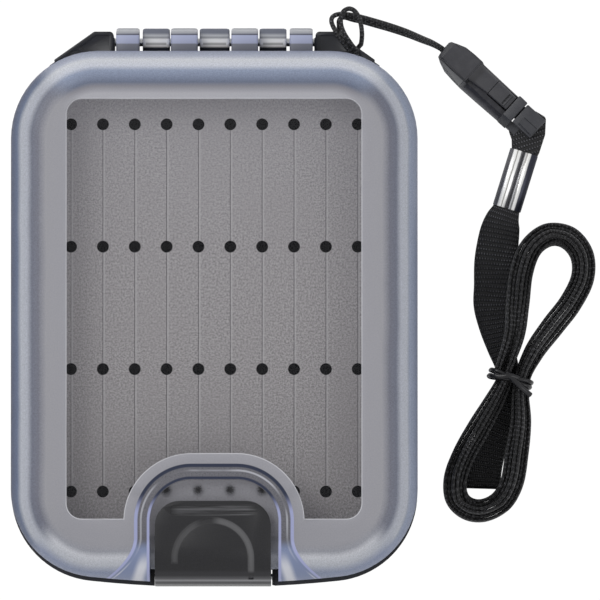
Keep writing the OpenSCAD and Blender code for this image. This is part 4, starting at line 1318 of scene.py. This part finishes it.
class FlyBoxLooks(bpy.types.PropertyGroup):
    frame: color("Frame", "Plastic of the frame and its lugs", (0.014, 0.015, 0.020))
    latch: color("Latches", "Plastic of the latches", (0.013, 0.013, 0.015))
    gasket: color("Gaskets", "Rubber of the seals", (0.03, 0.033, 0.04))
    adhesive: color("Adhesive", "Sheets that hold the foam", (0.5, 0.49, 0.45))
    foam_dark: color("Foam cells", "Dark specks of the foam", (0.15, 0.14, 0.143))
    foam_pale: color("Foam", "Pale specks of the foam", (0.40, 0.385, 0.39))
    strap: color("Strap", "Ground of the webbing", (0.004, 0.004, 0.0055))
    strap_picks: color("Strap picks", "Raised threads of the webbing", (0.15, 0.15, 0.165))
    tie: color("Tie", "Wire round the hank", (0.012, 0.012, 0.014))
    pins: color("Pins", "Steel of the pins", (0.7, 0.71, 0.73))
    key_light: bpy.props.FloatProperty(name="Key light", description="Power of the key light",
                                       default=3.0, min=0.0, max=100.0, unit="POWER")
    room_light: bpy.props.FloatProperty(name="Room light", description="Strength of the white room",
                                        default=0.5, min=0.0, max=3.0)


FINISHES = {}


class FLYBOX_OT_stage(bpy.types.Operator):
    """Sets the camera, the materials, the floor and the lights"""

    bl_idname = "flybox.stage"
    bl_label = "Set the stage"

    def execute(self, context):
        add_camera()
        FINISHES.update(make_finishes(context.scene.fly_box_looks))
        add_stage(context.scene.fly_box_looks)
        return {"FINISHED"}


class FLYBOX_OT_cords(bpy.types.Operator):
    """Lays the thin cord and the neck strap"""

    bl_idname = "flybox.cords"
    bl_label = "Lay the cords"

    def execute(self, context):
        build_cords(FINISHES, context.scene.fly_box_sizes)
        return {"FINISHED"}


class FLYBOX_OT_box(bpy.types.Operator):
    """Builds the foam pads and finishes the frame, gaskets and pins"""

    bl_idname = "flybox.box"
    bl_label = "Build the box"

    def execute(self, context):
        build_box(FINISHES, context.scene.fly_box_sizes)
        return {"FINISHED"}


class FLYBOX_OT_lids(bpy.types.Operator):
    """Builds the clear lids"""

    bl_idname = "flybox.lids"
    bl_label = "Build the lids"

    def execute(self, context):
        build_lids(FINISHES, context.scene.fly_box_sizes)
        return {"FINISHED"}


class FLYBOX_OT_latches(bpy.types.Operator):
    """Builds the latches"""

    bl_idname = "flybox.latches"
    bl_label = "Build the latches"

    def execute(self, context):
        build_latches(FINISHES, context.scene.fly_box_sizes)
        return {"FINISHED"}


class FLYBOX_OT_buckle(bpy.types.Operator):
    """Builds the buckle"""

    bl_idname = "flybox.buckle"
    bl_label = "Build the buckle"

    def execute(self, context):
        build_buckle(FINISHES)
        return {"FINISHED"}


class FLYBOX_OT_fittings(bpy.types.Operator):
    """Builds the strap's folded tab, crimp and tie"""

    bl_idname = "flybox.fittings"
    bl_label = "Build the strap's fittings"

    def execute(self, context):
        build_tab(FINISHES)
        build_crimp(FINISHES)
        build_tie(FINISHES)
        return {"FINISHED"}


class FLYBOX_PT_panel(bpy.types.Panel):
    bl_idname = "FLYBOX_PT_panel"
    bl_label = "Fly Box"
    bl_space_type = "VIEW_3D"
    bl_region_type = "UI"
    bl_category = "Fly Box"

    def draw(self, context):
        for group in (context.scene.fly_box_sizes, context.scene.fly_box_looks):
            for name in group.__annotations__:
                self.layout.prop(group, name)
        for step in STEPS:
            self.layout.operator(step.bl_idname)


STEPS = (FLYBOX_OT_stage, FLYBOX_OT_cords, FLYBOX_OT_box, FLYBOX_OT_lids, FLYBOX_OT_latches,
         FLYBOX_OT_buckle, FLYBOX_OT_fittings)
CLASSES = (FlyBoxSizes, FlyBoxLooks, *STEPS, FLYBOX_PT_panel)


def register():
    for item in CLASSES:
        bpy.utils.register_class(item)
    bpy.types.Scene.fly_box_sizes = bpy.props.PointerProperty(type=FlyBoxSizes)
    bpy.types.Scene.fly_box_looks = bpy.props.PointerProperty(type=FlyBoxLooks)


def unregister():
    del bpy.types.Scene.fly_box_looks
    del bpy.types.Scene.fly_box_sizes
    for item in reversed(CLASSES):
        bpy.utils.unregister_class(item)


def main():
    register()
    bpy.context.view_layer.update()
    bpy.ops.flybox.stage()
    bpy.ops.flybox.cords()
    bpy.ops.flybox.box()
    bpy.ops.flybox.lids()
    bpy.ops.flybox.latches()
    bpy.ops.flybox.buckle()
    bpy.ops.flybox.fittings()


if __name__ == "__main__":
    main()
